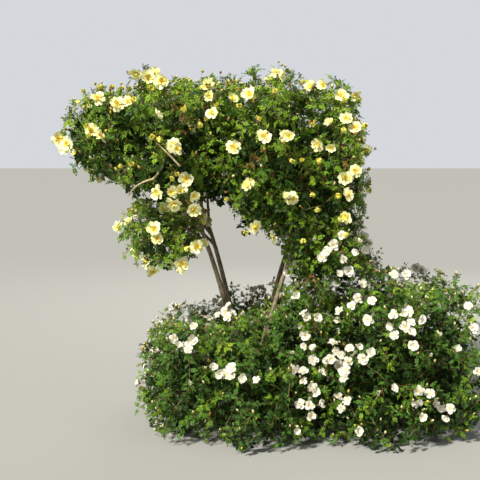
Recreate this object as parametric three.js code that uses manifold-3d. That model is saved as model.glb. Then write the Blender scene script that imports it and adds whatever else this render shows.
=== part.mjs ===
// A large shrub rose, grown as one clump: canes rise from a woody stool at ground level. The tall canes arch
// over into a wide crown above a see-through gap, and the low ones fan out into a leafy mound round the foot.
// Units are millimetres: +X is the right, -Y the front and +Z up, and the ground is the plane Z = 0.
import * as THREE from "three";
import { mergeVertices } from "three/addons/utils/BufferGeometryUtils.js";
import Module from "manifold-3d";

const wasm = await Module();
wasm.setup();

// Banks of foliage. A bank is a row of leafy masses from left to right, doubled into a front and a back row.
// tops and bottoms are the heights of its outline at each mass, which the ground cuts off where a bottom is
// under it, and entry is where a limb comes in, from the mass's middle, in half heights.
const BANKS = [
  {
    name: "crown",
    left: -1000,
    right: 600,
    tops: [2070, 2180, 2140, 2190, 2130],
    bottoms: [1480, 1310, 1350, 1130, 1090],
    rows: { front: -250, back: 250 },
    halfDepth: 450,
    entry: -0.62,
  },
  {
    name: "hanging",
    left: -685,
    right: -395,
    tops: [1400],
    bottoms: [960],
    rows: { front: -220, back: 220 },
    halfDepth: 330,
    entry: 0.2,
  },
  {
    name: "shoulder",
    left: 305,
    right: 605,
    tops: [1340],
    bottoms: [880],
    rows: { front: -240, back: 240 },
    halfDepth: 400,
    entry: 0.1,
  },
  {
    name: "mound",
    left: -560,
    right: 1330,
    tops: [690, 780, 960, 1020, 940],
    bottoms: [-200, -200, -200, -200, -200],
    rows: { front: -380, back: 320 },
    halfDepth: 440,
    entry: -0.2,
  },
];
const MASS_OVERHANG = 1.8; // a mass's width over its share of the row, before its neighbours trim it
const MASS_SQUARENESS = 2.5; // 2 is an ellipsoid, and more is boxier
const STAGGER = 70; // the masses of a row stand this far inside and outside its line in turn
const END_TAPER = 0.96; // the masses at a row's two ends are this much shallower
const MASS_GAP = 6; // clear space kept on each side between two masses
const NEAR_SURFACE = 0.94; // twig tips and flowers are this far out, as a share of the mass's own reach

// Open flowers that show from the front as [X, Z]: pale yellow high up and white low down.
const BLOOMS = [
  [-1080, 1720], [-900, 1790], [-690, 1960], [-540, 2130], [-420, 1700], [-250, 2060], [-130, 1700],
  [-100, 1980], [140, 2150], [190, 1760], [360, 2090], [400, 1720], [520, 2020], [540, 1520],
  [230, 1400], [-20, 1480], [-540, 1180], [-400, 1010], [520, 1210], [400, 1080], [600, 950],
  [-360, 590], [-150, 470], [310, 760], [540, 570], [360, 330], [840, 740], [990, 860], [980, 320],
  [1260, 700],
];
const WHITE_BELOW = 1340; // flowers under this height are white

// Wood. foot and tip are radii.
const BASE = { radius: 98, height: 150, lobes: 5, flare: 0.1 };
const BASE_PROFILE = [
  [1, 0],
  [0.78, 0.22],
  [0.7, 0.6],
  [0.58, 0.86],
  [0.3, 1],
]; // radius and height, as shares of the base's own
const MAIN_CANE = { foot: 21, tip: 12, sides: 7, steps: 8 };
const BOUGH = { foot: 10, tip: 8, sides: 5, steps: 4 };
const LOW_CANE = { foot: 10.5, tip: 8, sides: 5, steps: 5 };
const STEM = { foot: 8, tip: 7.4, sides: 4, steps: 2 };
const TWIG = { foot: 5, tip: 4.4, sides: 3, steps: 2 };
const FORKS = {
  left_front: [-345, -90, 1300],
  right_front: [290, -130, 1130],
  left_back: [-290, 250, 1250],
  right_back: [290, 250, 1150],
};
const MAIN_RING = 34; // the tall canes stand this far from the base's middle
const LOW_RING = 60; // the low canes leave the base this far out
const FORK_SPACING = 0.06; // boughs leave a tall cane this share of its length apart
const BOUGH_ARCH = 0.15; // a bough's elbow rises by this share of its length
const LOW_ARCH = { rise: 0.28, from: 300 }; // a low cane's elbow rises with the span beyond this
const SEAT_GAP = 0.35; // clear gap where one piece of wood sits on another

// Leaves stand for sprays, so they are larger than life, and a flower's petals are one scalloped cup.
const LEAF = { length: 232, width: 144, fold: 12, widest: 0.54 };
const LEAF_SUNK = 0.5; // a leaf's root goes this far past the middle of its twig
const LEAF_PLACES = [0.3, 0.62, 0.8]; // along a twig, and one more at its tip unless a flower is there
const TIP_PLACE = 0.97;
const LEAF_TRIES = 16;
const LEAF_ROOM = 75; // least distance between the middles of two leaves
const TWIGS_PER_MASS = 9;
const TWIG_TRIES = 8;
const TWIG_ROOM = 0.5; // least distance between two twig tips, in half widths of their mass
const FLOWER_SHARE = 0.2; // of the twigs that the list of open flowers doesn't name
const FLOWER_RADIUS = { yellow: 52, white: 36 };
const PETALS = 5;
const LIMB_CLEARANCE = 13; // leaves and twigs keep this far from any limb
const TWIG_CLEARANCE = 4; // leaves keep this far from the other twigs of their mass
const GROUND_CLEARANCE = 12;
const TRAIL_STEP = 12; // limbs are tested for clearance at points this far apart

const point = (x, y, z) => new THREE.Vector3(x, y, z);
const UP = point(0, 0, 1);
const GOLDEN_ANGLE = Math.PI * (3 - Math.sqrt(5));
const squareTo = (way) => way.clone().cross(Math.abs(way.z) < 0.9 ? UP : point(1, 0, 0)).normalize();

// A repeatable stream of numbers from 0 to 1.
function seeded(seed) {
  let state = seed >>> 0;
  return () => {
    state = (Math.imul(state, 1664525) + 1013904223) >>> 0;
    return state / 4294967296;
  };
}

// Closed meshes from rings, and their solids.

function meshOf(vertices, faces) {
  const geometry = new THREE.BufferGeometry().setFromPoints(vertices);
  geometry.setIndex(faces.flat());
  return geometry;
}

function solidOf(geometry) {
  const merged = mergeVertices(geometry, 1e-4);
  return new wasm.Manifold(
    new wasm.Mesh({
      numProp: 3,
      vertProperties: merged.attributes.position.array,
      triVerts: new Uint32Array(merged.index.array),
    }),
  );
}

// The biggest body of a solid, which leaves out scraps and filled hollows.
function mainBody(solid) {
  return solid.decompose().reduce((a, b) => (b.volume() > a.volume() ? b : a));
}

function geometryOf(solid) {
  const { vertProperties, triVerts, numProp } = solid.getMesh();
  const positions = [];
  for (let i = 0; i < vertProperties.length; i += numProp) {
    positions.push(vertProperties[i], vertProperties[i + 1], vertProperties[i + 2]);
  }
  const geometry = new THREE.BufferGeometry();
  geometry.setAttribute("position", new THREE.Float32BufferAttribute(positions, 3));
  geometry.setIndex([...triVerts]);
  const faceted = geometry.toNonIndexed();
  faceted.computeVertexNormals();
  return faceted;
}

function skin(rings) {
  const sides = rings[0].length;
  const faces = [];
  for (let r = 0; r + 1 < rings.length; r++) {
    for (let s = 0; s < sides; s++) {
      const a = r * sides + s;
      const b = r * sides + ((s + 1) % sides);
      faces.push([a, b, b + sides], [a, b + sides, a + sides]);
    }
  }
  const last = (rings.length - 1) * sides;
  for (let s = 1; s + 1 < sides; s++) {
    faces.push([0, s + 1, s], [last, last + s, last + s + 1]);
  }
  return meshOf(rings.flat(), faces);
}

// A limb is a curve with a radius that tapers from foot to tip. grow fattens it, to cut clearance for a seat.
function limb(curve, size, grow = 0) {
  const bend = curve.v1.clone().sub(curve.v0).cross(curve.v2.clone().sub(curve.v1));
  const across = bend.length() > 1 ? bend.normalize() : squareTo(curve.getTangent(0));
  const rings = [];
  for (let i = 0; i <= size.steps; i++) {
    const t = i / size.steps;
    const tangent = curve.getTangent(t);
    const other = tangent.clone().cross(across).normalize();
    const radius = THREE.MathUtils.lerp(size.foot, size.tip, t) + grow / Math.cos(Math.PI / size.sides);
    const end = i === 0 ? -grow : i === size.steps ? grow : 0;
    const middle = curve.getPoint(t).addScaledVector(tangent, end);
    const ring = [];
    for (let s = 0; s < size.sides; s++) {
      const turn = (2 * Math.PI * s) / size.sides;
      ring.push(
        middle
          .clone()
          .addScaledVector(across, radius * Math.cos(turn))
          .addScaledVector(other, radius * Math.sin(turn)),
      );
    }
    rings.push(ring);
  }
  return solidOf(skin(rings));
}

// The base flares into lobes at its flat underside.
function base(grow = 0) {
  const sides = 3 * BASE.lobes;
  const rings = BASE_PROFILE.map(([out, up], level) => {
    const end = level === 0 ? -grow : level === BASE_PROFILE.length - 1 ? grow : 0;
    return Array.from({ length: sides }, (_, s) => {
      const turn = (2 * Math.PI * s) / sides;
      const lobe = 1 + BASE.flare * (1 - up) * Math.cos(BASE.lobes * turn);
      const radius = BASE.radius * out * lobe + grow;
      return point(radius * Math.cos(turn), radius * Math.sin(turn), BASE.height * up + end);
    });
  });
  return solidOf(skin(rings));
}

// Masses of foliage: where each one is, and the convex space that it keeps to.

function massesOf(bank) {
  const count = bank.tops.length;
  const share = (bank.right - bank.left) / count;
  return Object.entries(bank.rows).flatMap(([row, rowY], rowNumber) =>
    bank.tops.map((top, k) => {
      const bottom = bank.bottoms[k];
      const atEnd = count > 1 && (k === 0 || k === count - 1);
      const depth = bank.halfDepth * (atEnd ? END_TAPER : 1);
      const stagger = count > 1 ? STAGGER * (k % 2 === 0 ? -1 : 1) * Math.sign(rowY) : 0;
      return {
        name: count > 1 ? `${bank.name}_${k + 1}_${row}` : `${bank.name}_${row}`,
        bank,
        row,
        centre: point(bank.left + share * (k + 0.5), rowY + stagger, (top + bottom) / 2),
        half: point((share / 2) * MASS_OVERHANG, depth, (top - bottom) / 2),
        seed: 1000 * (BANKS.indexOf(bank) + 1) + 100 * rowNumber + 7 * k,
      };
    }),
  );
}

// How far a mass reaches from its centre in a direction.
function reach({ half }, way) {
  const share = (part, whole) => Math.abs(part / whole) ** MASS_SQUARENESS;
  return (share(way.x, half.x) + share(way.y, half.y) + share(way.z, half.z)) ** (-1 / MASS_SQUARENESS);
}

// A flat wall stands between each two masses that would meet, nearer to the smaller one.
function wallsOf(mass, all) {
  const walls = [];
  for (const other of all) {
    if (other === mass) continue;
    const way = other.centre.clone().sub(mass.centre);
    const distance = way.length();
    way.normalize();
    const mine = reach(mass, way);
    const theirs = reach(other, way);
    if (mine + theirs < 0.8 * distance) continue;
    walls.push({ way, limit: (distance * mine) / (mine + theirs) - MASS_GAP });
  }
  return walls;
}

function insideWalls(mass, p) {
  const from = p.clone().sub(mass.centre);
  return mass.walls.every(({ way, limit }) => from.dot(way) < limit);
}

function holds(mass, p) {
  const from = p.clone().sub(mass.centre);
  const distance = from.length();
  if (p.z < GROUND_CLEARANCE) return false;
  if (distance > 1 && distance > reach(mass, from.divideScalar(distance))) return false;
  return insideWalls(mass, p);
}

// A limb is made in straight steps: this is the point on its middle line, and the way that its step runs.
function onLimb(curve, size, t) {
  const step = Math.min(Math.floor(t * size.steps), size.steps - 1);
  const from = curve.getPoint(step / size.steps);
  const to = curve.getPoint((step + 1) / size.steps);
  return { at: from.clone().lerp(to, t * size.steps - step), way: to.sub(from).normalize() };
}

// Points with a radius along a limb or twig, which others keep clear of.
function trailOf(curve, size) {
  const count = Math.ceil(curve.getLength() / TRAIL_STEP);
  return Array.from({ length: count + 1 }, (_, i) => ({
    at: onLimb(curve, size, i / count).at,
    radius: THREE.MathUtils.lerp(size.foot, size.tip, i / count),
  }));
}

function clear(p, trail, margin) {
  return trail.every(({ at, radius }) => at.distanceTo(p) > radius + margin);
}

// Wood: the base, four tall canes, a bough from a tall cane to each high mass, and a low cane to each mass of
// the mound.

const masses = BANKS.flatMap(massesOf);
for (const mass of masses) mass.walls = wallsOf(mass, masses);
const isLow = (mass) => mass.bank.name === "mound";

const pieces = [];
const limbTrail = [];

function addPiece(name, solid, material) {
  pieces.push({ name, solid: mainBody(solid), material });
}

function addLimb(name, curve, size, seat) {
  addPiece(name, limb(curve, size).subtract(seat), "bark");
  limbTrail.push(...trailOf(curve, size));
}

function forkOf(mass) {
  return `${mass.centre.x < 0 ? "left" : "right"}_${mass.row}`;
}

// A limb enters a mass on the side of the cane or base that it comes from.
function entryOf(mass) {
  const { centre, half, bank } = mass;
  const height = centre.z + bank.entry * half.z;
  if (isLow(mass)) {
    const inward = point(-centre.x, -centre.y, 0).normalize();
    const out = Math.min(0.72 * reach(mass, inward), 0.7 * Math.hypot(centre.x, centre.y));
    return centre.clone().addScaledVector(inward, out).setZ(height);
  }
  const [forkX, forkY] = FORKS[forkOf(mass)];
  const inward = point(forkX - centre.x, forkY - centre.y, 0).clampLength(0, 0.45 * half.x);
  return centre.clone().add(inward).setZ(height);
}

addPiece("cane_base", base(), "bark");
const baseAxis = new THREE.QuadraticBezierCurve3(point(0, 0, 0), point(0, 0, 50), point(0, 0, 110));
limbTrail.push(...trailOf(baseAxis, { foot: BASE.radius, tip: 0.7 * BASE.radius, steps: 1 }));
const baseSeat = base(SEAT_GAP);

for (const [name, fork] of Object.entries(FORKS)) {
  const tip = point(...fork);
  const foot = point(Math.sign(tip.x), Math.sign(tip.y), 0).setLength(MAIN_RING).setZ(0.6 * BASE.height);
  const elbow = point(0.4 * tip.x, 0.4 * tip.y, 0.6 * tip.z);
  const cane = new THREE.QuadraticBezierCurve3(foot, elbow, tip);
  addLimb(`main_cane_${name}`, cane, MAIN_CANE, baseSeat);

  const caneSeat = limb(cane, MAIN_CANE, SEAT_GAP);
  const straightness = (mass) => entryOf(mass).sub(tip).normalize().dot(cane.getTangent(1));
  const carried = masses.filter((mass) => !isLow(mass) && forkOf(mass) === name);
  carried.sort((a, b) => straightness(b) - straightness(a));
  carried.forEach((mass, n) => {
    const start = cane.getPoint(1 - FORK_SPACING * n);
    const entry = entryOf(mass);
    const middle = start.clone().lerp(entry, 0.5).addScaledVector(UP, BOUGH_ARCH * start.distanceTo(entry));
    mass.limb = new THREE.QuadraticBezierCurve3(start, middle, entry);
    addLimb(`bough_${mass.name}`, mass.limb, BOUGH, caneSeat);
  });
}

// The low canes leave the base half way between their own bearings and an even spread.
const bearing = (mass) => Math.atan2(entryOf(mass).y, entryOf(mass).x);
const lowMasses = masses.filter(isLow).sort((a, b) => bearing(a) - bearing(b));
const spacing = (2 * Math.PI) / lowMasses.length;
const offset = lowMasses.reduce((sum, mass, n) => sum + bearing(mass) - spacing * n, 0) / lowMasses.length;
lowMasses.forEach((mass, n) => {
  const turn = (bearing(mass) + offset + spacing * n) / 2;
  const foot = point(LOW_RING * Math.cos(turn), LOW_RING * Math.sin(turn), 0.3 * BASE.height);
  const entry = entryOf(mass);
  const rise = LOW_ARCH.rise * (Math.hypot(entry.x, entry.y) - LOW_ARCH.from);
  const elbow = foot.clone().lerp(entry, 0.45).setZ(entry.z + rise);
  mass.limb = new THREE.QuadraticBezierCurve3(foot, elbow, entry);
  addLimb(`low_cane_${mass.name}`, mass.limb, LOW_CANE, baseSeat);
});

// Foliage: twigs, and the leaves and flowers on them.

// Outward and a little up: the way that leaves and flowers face on a mass.
function outlook(mass, p) {
  const from = p.clone().sub(mass.centre).divide(mass.half);
  const side = mass.row === "front" ? -0.5 : 0.5;
  return from.add(point(0, side, 0.35)).normalize();
}

function nearestFront(x, z) {
  const off = ({ centre, half }) => Math.hypot((x - centre.x) / half.x, (z - centre.z) / half.z);
  return masses.filter((mass) => mass.row === "front").reduce((a, b) => (off(b) < off(a) ? b : a));
}

// The place of an open flower on a front mass, just inside its front face.
function bloomPlace({ centre, half }, x, z) {
  const dx = THREE.MathUtils.clamp((x - centre.x) / half.x, -NEAR_SURFACE, NEAR_SURFACE);
  const dz = THREE.MathUtils.clamp((z - centre.z) / half.z, -NEAR_SURFACE, NEAR_SURFACE);
  const rest = 1 - Math.abs(dx) ** MASS_SQUARENESS - Math.abs(dz) ** MASS_SQUARENESS;
  const dy = -(Math.max(0.08, rest) ** (1 / MASS_SQUARENESS));
  return point(dx, dy, dz).multiplyScalar(NEAR_SURFACE).multiply(half).add(centre);
}

// Twig tips: the mass's own share of the open flowers first, then more, spread evenly over its sides.
function targetsOf(mass, random) {
  const own = mass.row === "front" ? BLOOMS.filter(([x, z]) => nearestFront(x, z) === mass) : [];
  const targets = own.map(([x, z]) => ({ at: bloomPlace(mass, x, z), flower: true }));
  const spin = 2 * Math.PI * random();
  const spread = 2 * TWIGS_PER_MASS;
  for (let i = 0; i < spread && targets.length < TWIGS_PER_MASS; i++) {
    const level = (5 * i) % spread;
    const z = 1 - (2 * (level + 0.5)) / spread;
    const turn = spin + level * GOLDEN_ANGLE;
    const way = point(Math.cos(turn), Math.sin(turn), 0).multiplyScalar(Math.sqrt(1 - z * z)).setZ(z);
    const out = way.multiplyScalar(NEAR_SURFACE * reach(mass, way));
    while (!holds(mass, out.clone().add(mass.centre)) && out.length() > 40) out.multiplyScalar(0.92);
    const at = out.add(mass.centre);
    const near = targets.some((target) => target.at.distanceTo(at) < TWIG_ROOM * mass.half.x);
    if (!near) targets.push({ at, flower: random() < FLOWER_SHARE });
  }
  return targets;
}

function twigFits(mass, curve) {
  return trailOf(curve, TWIG)
    .slice(1)
    .every(({ at }) => holds(mass, at) && clear(at, limbTrail, LIMB_CLEARANCE));
}

// Twigs leave the stem in turn and bend up to their targets. One that doesn't fit is tried from elsewhere
// nearby, and then skipped.
function twigsOf(mass, stem, random) {
  const onwards = stem.v2.clone().sub(stem.v0);
  const targets = targetsOf(mass, random).sort((a, b) => a.at.dot(onwards) - b.at.dot(onwards));
  const twigs = [];
  for (const [n, { at, flower }] of targets.entries()) {
    for (let attempt = 0; attempt < TWIG_TRIES; attempt++) {
      const start = onLimb(stem, STEM, 0.25 + (0.72 * (n + random())) / targets.length).at;
      const lift = (0.06 + 0.2 * random()) * start.distanceTo(at);
      const elbow = start.clone().lerp(at, 0.55).addScaledVector(UP, lift);
      const curve = new THREE.QuadraticBezierCurve3(start, elbow, at);
      if (!twigFits(mass, curve)) continue;
      twigs.push({ curve, flower });
      break;
    }
  }
  return twigs;
}

// A leaf is a blade folded along its midrib: root, tip, left and right corners.
function leafCorners(root, along, face, scale) {
  const across = along.clone().cross(face).normalize();
  const { length, width, fold, widest } = LEAF;
  const middle = root.clone().addScaledVector(along, widest * length * scale).addScaledVector(face, fold);
  return [
    root.clone().addScaledVector(along, -LEAF_SUNK),
    root.clone().addScaledVector(along, length * scale),
    middle.clone().addScaledVector(across, (-width / 2) * scale),
    middle.clone().addScaledVector(across, (width / 2) * scale),
  ];
}

function leaf(corners) {
  const faces = [
    [0, 3, 2],
    [1, 2, 3],
    [0, 1, 3],
    [1, 0, 2],
  ];
  return solidOf(meshOf(corners, faces));
}

function leafClear([root, tip, left, right], trail, margin) {
  const halves = [new THREE.Triangle(root, right, left), new THREE.Triangle(tip, left, right)];
  const nearest = point(0, 0, 0);
  return trail.every(({ at, radius }) => {
    if (at.distanceTo(root) > 1.5 * LEAF.length) return true;
    return halves.every((half) => half.closestPointToPoint(at, nearest).distanceTo(at) > radius + margin);
  });
}

function leafFits(mass, corners, otherTwigs) {
  return (
    corners.every((corner) => holds(mass, corner)) &&
    leafClear(corners, limbTrail, LIMB_CLEARANCE) &&
    leafClear(corners, otherTwigs, TWIG_CLEARANCE)
  );
}

// Leaves stand left and right along a twig. Of several tries, the one with the most room round it is kept.
function leavesOn(mass, curve, places, otherTwigs, taken, random) {
  const leaves = [];
  let side = random() < 0.5 ? -1 : 1;
  for (const place of places) {
    side = -side;
    const atTip = place === TIP_PLACE;
    let best = null;
    for (let attempt = 0; attempt < LEAF_TRIES; attempt++) {
      const shift = atTip ? 0 : 0.08 * (random() - 0.5);
      const { at: root, way } = onLimb(curve, TWIG, place + shift);
      const tilt = point(random() - 0.5, random() - 0.5, random() - 0.5);
      const face = outlook(mass, root).addScaledVector(tilt, 0.8);
      const turn = side * (atTip ? 0.5 * random() : 0.95 + 0.65 * random());
      const across = way.clone().cross(face).normalize();
      const along = way.clone().multiplyScalar(Math.cos(turn)).addScaledVector(across, Math.sin(turn));
      face.addScaledVector(along, -face.dot(along)).normalize();
      const corners = leafCorners(root, along, face, 0.85 + 0.3 * random());
      if (!leafFits(mass, corners, otherTwigs)) continue;
      const middle = corners[0].clone().lerp(corners[1], 0.5);
      const room = Math.min(...taken.map((other) => other.distanceTo(middle)));
      if (room > (best ? best.room : LEAF_ROOM)) best = { corners, middle, room };
    }
    if (!best) continue;
    taken.push(best.middle);
    leaves.push(leaf(best.corners));
  }
  return leaves;
}

// A flower is a shallow cup with a scalloped rim, a notch between each two petals. Its twig meets it off its
// middle.
function flowerCorners(tip, face, radius) {
  const across = squareTo(face);
  const other = face.clone().cross(across);
  const centre = tip.clone().addScaledVector(across, 0.42 * radius).addScaledVector(face, -0.03 * radius);
  const corners = [0.1, -0.28].map((height) => centre.clone().addScaledVector(face, height * radius));
  for (let i = 0; i < 3 * PETALS; i++) {
    const turn = (2 * Math.PI * i) / (3 * PETALS);
    const out = radius * (i % 3 === 0 ? 0.72 : 1);
    const rim = centre.clone().addScaledVector(face, 0.22 * radius);
    rim.addScaledVector(across, out * Math.cos(turn)).addScaledVector(other, out * Math.sin(turn));
    corners.push(rim);
  }
  return corners;
}

function flower(corners) {
  const rim = corners.length - 2;
  const faces = [];
  for (let i = 0; i < rim; i++) {
    const a = 2 + i;
    const b = 2 + ((i + 1) % rim);
    faces.push([0, a, b], [1, b, a]);
  }
  return solidOf(meshOf(corners, faces));
}

function flowerFits(mass, corners) {
  return corners.every(
    (corner) =>
      corner.z > GROUND_CLEARANCE && insideWalls(mass, corner) && clear(corner, limbTrail, LIMB_CLEARANCE),
  );
}

// A mass's stem starts just clear of the tip of its bough or low cane.
function foliage(mass) {
  const heading = mass.limb.getTangent(1);
  const foot = mass.limb.getPoint(1).addScaledVector(heading, SEAT_GAP);
  const hub = mass.centre.clone().addScaledVector(UP, -0.1 * mass.half.z);
  const bend = foot.clone().addScaledVector(heading, 0.4 * foot.distanceTo(hub));
  const stem = new THREE.QuadraticBezierCurve3(foot, bend, hub);
  const parts = [limb(stem, STEM)];

  const twigs = twigsOf(mass, stem, seeded(mass.seed));
  const random = seeded(mass.seed + 50);
  const taken = [hub];
  for (const { curve, flower: opens } of twigs) {
    parts.push(limb(curve, TWIG));
    const tip = curve.getPoint(1);
    const radius = tip.z < WHITE_BELOW ? FLOWER_RADIUS.white : FLOWER_RADIUS.yellow;
    const corners = flowerCorners(tip, outlook(mass, tip), radius);
    const blooms = opens && flowerFits(mass, corners);
    if (blooms) {
      parts.push(flower(corners));
      taken.push(tip);
    }
    const places = blooms ? LEAF_PLACES : [...LEAF_PLACES, TIP_PLACE];
    const others = twigs.filter((twig) => twig.curve !== curve);
    const otherTwigs = others.flatMap((twig) => trailOf(twig.curve, TWIG));
    parts.push(...leavesOn(mass, curve, places, otherTwigs, taken, random));
  }
  return wasm.Manifold.union(parts);
}

for (const mass of masses) addPiece(`foliage_${mass.name}`, foliage(mass), "foliage");

// Colours.
const MATERIALS = {
  bark: new THREE.MeshStandardMaterial({ color: 0x5d4a36, roughness: 0.85, metalness: 0 }),
  foliage: new THREE.MeshStandardMaterial({ color: 0x3f6b2a, roughness: 0.6, metalness: 0 }),
};

const rose = new THREE.Group();
rose.name = "rose_bush";
for (const { name, solid, material } of pieces) {
  const mesh = new THREE.Mesh(geometryOf(solid), MATERIALS[material]);
  mesh.name = name;
  rose.add(mesh);
}
export default rose;
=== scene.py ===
# %% [markdown]
# # Dressing a flowering shrub rose
#
# The plant is one big clump: canes rise from a woody stool, arch over into a wide crown with pale yellow
# flowers, and spread below into a leafy mound dotted with small white ones. The plain solids already say
# where every cane and every mass of foliage is. This lesson grows the fine plant on them.
#
# Blender could scatter instances over each mass, but instances float free of the wood. Here each leaf
# sits on a shoot, each shoot on a twig and each twig on a cane, so the plant holds together from every
# side.
#
# All lengths are metres: +X is the right, -Y the front and +Z up. The ground is the plane Z = 0.

# %% Load the fixed frame
import math
from types import SimpleNamespace

import bpy
import numpy as np
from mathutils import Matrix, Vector


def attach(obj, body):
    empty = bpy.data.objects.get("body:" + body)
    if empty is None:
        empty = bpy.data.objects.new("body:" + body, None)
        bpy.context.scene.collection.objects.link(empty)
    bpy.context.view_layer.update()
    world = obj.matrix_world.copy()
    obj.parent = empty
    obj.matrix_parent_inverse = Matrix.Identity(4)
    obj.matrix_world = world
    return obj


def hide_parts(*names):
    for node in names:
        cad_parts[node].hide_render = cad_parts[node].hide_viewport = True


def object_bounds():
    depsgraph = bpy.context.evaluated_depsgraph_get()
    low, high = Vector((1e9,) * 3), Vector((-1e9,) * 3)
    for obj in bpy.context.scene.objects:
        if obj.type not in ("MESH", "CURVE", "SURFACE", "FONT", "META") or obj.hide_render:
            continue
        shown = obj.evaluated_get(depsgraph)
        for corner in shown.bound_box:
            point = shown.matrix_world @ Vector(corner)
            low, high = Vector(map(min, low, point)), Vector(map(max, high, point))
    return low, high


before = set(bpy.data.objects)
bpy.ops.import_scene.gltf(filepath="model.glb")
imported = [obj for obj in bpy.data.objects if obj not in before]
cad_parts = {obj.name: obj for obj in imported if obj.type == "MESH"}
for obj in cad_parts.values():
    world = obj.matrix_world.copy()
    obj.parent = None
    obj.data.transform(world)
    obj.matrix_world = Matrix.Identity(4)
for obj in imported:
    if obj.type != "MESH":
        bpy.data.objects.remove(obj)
CAD_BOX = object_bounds()
print("solids to dress:", len(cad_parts))

# %% [markdown]
# ## The camera
#
# The photograph was taken at eye height, a few steps in front of the plant. Its focal length is given in
# pixels, and the row of the horizon gives the small tilt down.

# %% Set the camera
PHOTO_WIDTH = 480
FOCAL_PIXELS = 833
HORIZON_ROW = 165
SENSOR_MM = 36
EYE = Vector((-0.064, -5.3, 1.6))

camera_data = bpy.data.cameras.new("camera")
camera_data.sensor_width = SENSOR_MM
camera_data.lens = SENSOR_MM * FOCAL_PIXELS / PHOTO_WIDTH
camera = bpy.data.objects.new("camera", camera_data)
camera.location = EYE
tilt_down = math.atan((PHOTO_WIDTH / 2 - HORIZON_ROW) / FOCAL_PIXELS)
camera.rotation_euler = (math.pi / 2 - tilt_down, 0, 0)
bpy.context.scene.collection.objects.link(camera)
bpy.context.scene.camera = camera
print(f"lens {camera_data.lens:.1f} mm, tilted down {math.degrees(tilt_down):.1f} degrees")

# %% [markdown]
# ## The masses of foliage
#
# A rose crown isn't one ball of leaves. It is a row of leafy clouds, one at the end of each bough, with
# air between them. Each mass keeps to a boxy ellipsoid, and a flat wall parts it from each neighbour.
# These are the same numbers and the same rule as the solids have, so the fine twigs end where the solids
# end.

# %% Describe the banks of foliage
BANKS = [
    SimpleNamespace(
        name="crown", left=-1.0, right=0.6,
        tops=[2.07, 2.18, 2.14, 2.19, 2.13], bottoms=[1.48, 1.31, 1.35, 1.13, 1.09],
        rows={"front": -0.25, "back": 0.25}, half_depth=0.45, entry=-0.62,
    ),
    SimpleNamespace(
        name="hanging", left=-0.685, right=-0.395, tops=[1.4], bottoms=[0.96],
        rows={"front": -0.22, "back": 0.22}, half_depth=0.33, entry=0.2,
    ),
    SimpleNamespace(
        name="shoulder", left=0.305, right=0.605, tops=[1.34], bottoms=[0.88],
        rows={"front": -0.24, "back": 0.24}, half_depth=0.4, entry=0.1,
    ),
    SimpleNamespace(
        name="mound", left=-0.56, right=1.33,
        tops=[0.69, 0.78, 0.96, 1.02, 0.94], bottoms=[-0.2] * 5,
        rows={"front": -0.38, "back": 0.32}, half_depth=0.44, entry=-0.2,
    ),
]
print("banks of foliage:", [bank.name for bank in BANKS])

# %% [markdown]
# Each bank is two rows of masses of equal width, one in front and one behind. Neighbours in a row stand
# a little inside and outside its line in turn, and the masses at its ends are shallower, so the outline
# is uneven.

# %% Set out the masses
MASS_OVERHANG = 1.8  # a mass's width over its share of the row, before its neighbours trim it
STAGGER = 0.07
END_TAPER = 0.96


def masses_of(number, bank):
    count = len(bank.tops)
    share = (bank.right - bank.left) / count
    made = []
    for row_number, (row, row_y) in enumerate(bank.rows.items()):
        for k, (top, bottom) in enumerate(zip(bank.tops, bank.bottoms)):
            at_end = count > 1 and k in (0, count - 1)
            shift = STAGGER * (1 if k % 2 else -1) * math.copysign(1, row_y) if count > 1 else 0
            made.append(SimpleNamespace(
                name=f"{bank.name}_{k + 1}_{row}" if count > 1 else f"{bank.name}_{row}",
                bank=bank,
                row=row,
                centre=np.array([bank.left + share * (k + 0.5), row_y + shift, (top + bottom) / 2]),
                half=np.array([
                    share / 2 * MASS_OVERHANG,
                    bank.half_depth * (END_TAPER if at_end else 1),
                    (top - bottom) / 2,
                ]),
                seed=1000 * (number + 1) + 100 * row_number + 7 * k,
            ))
    return made


masses = [mass for number, bank in enumerate(BANKS) for mass in masses_of(number, bank)]
print("masses of foliage:", len(masses))

# %% [markdown]
# ## What a mass can hold
#
# `reach` says how far a mass goes in a direction, and `fullness` how near to its surface a point is.
# Both take many points at once, because arrays are what keeps tens of thousands of leaves quick.

# %% Measure a mass
MASS_SQUARENESS = 2.5  # 2 is an ellipsoid, and more is boxier
TINY = 1e-9


def length_of(vectors):
    return np.linalg.norm(vectors, axis=-1)


def unit(vectors):
    return vectors / np.maximum(length_of(vectors), TINY)[..., None]


def reach(mass, ways):
    return (np.abs(ways / mass.half) ** MASS_SQUARENESS).sum(-1) ** (-1 / MASS_SQUARENESS)


def fullness(mass, points):
    """0 at the middle of a mass and 1 at its surface."""
    share = (np.abs((points - mass.centre) / mass.half) ** MASS_SQUARENESS).sum(-1)
    return share ** (1 / MASS_SQUARENESS)


up_right = np.array([1, 0, 1]) / math.sqrt(2)
print(f"the first mass reaches {reach(masses[0], up_right):.2f} m up and to the right")

# %% [markdown]
# Where two masses come near each other, a flat wall parts them, placed by how far each of them reaches.
# Strong twigs stay inside the walls of their own mass, as the solids do.

# %% Put up the walls between masses
WALL_RANGE = 0.8  # masses whose reaches add up to less than this share of the way between them need no wall
MASS_GAP = 0.006
GROUND_CLEARANCE = 0.012


def add_walls(mass):
    ways, limits = [], []
    for other in masses:
        if other is mass:
            continue
        way = other.centre - mass.centre
        distance = length_of(way)
        way = way / distance
        mine, theirs = reach(mass, way), reach(other, way)
        if mine + theirs >= WALL_RANGE * distance:
            ways.append(way)
            limits.append(distance * mine / (mine + theirs) - MASS_GAP)
    mass.wall_ways, mass.wall_limits = np.array(ways), np.array(limits)


def inside_walls(mass, points):
    return ((points - mass.centre) @ mass.wall_ways.T < mass.wall_limits).all(-1)


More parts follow.
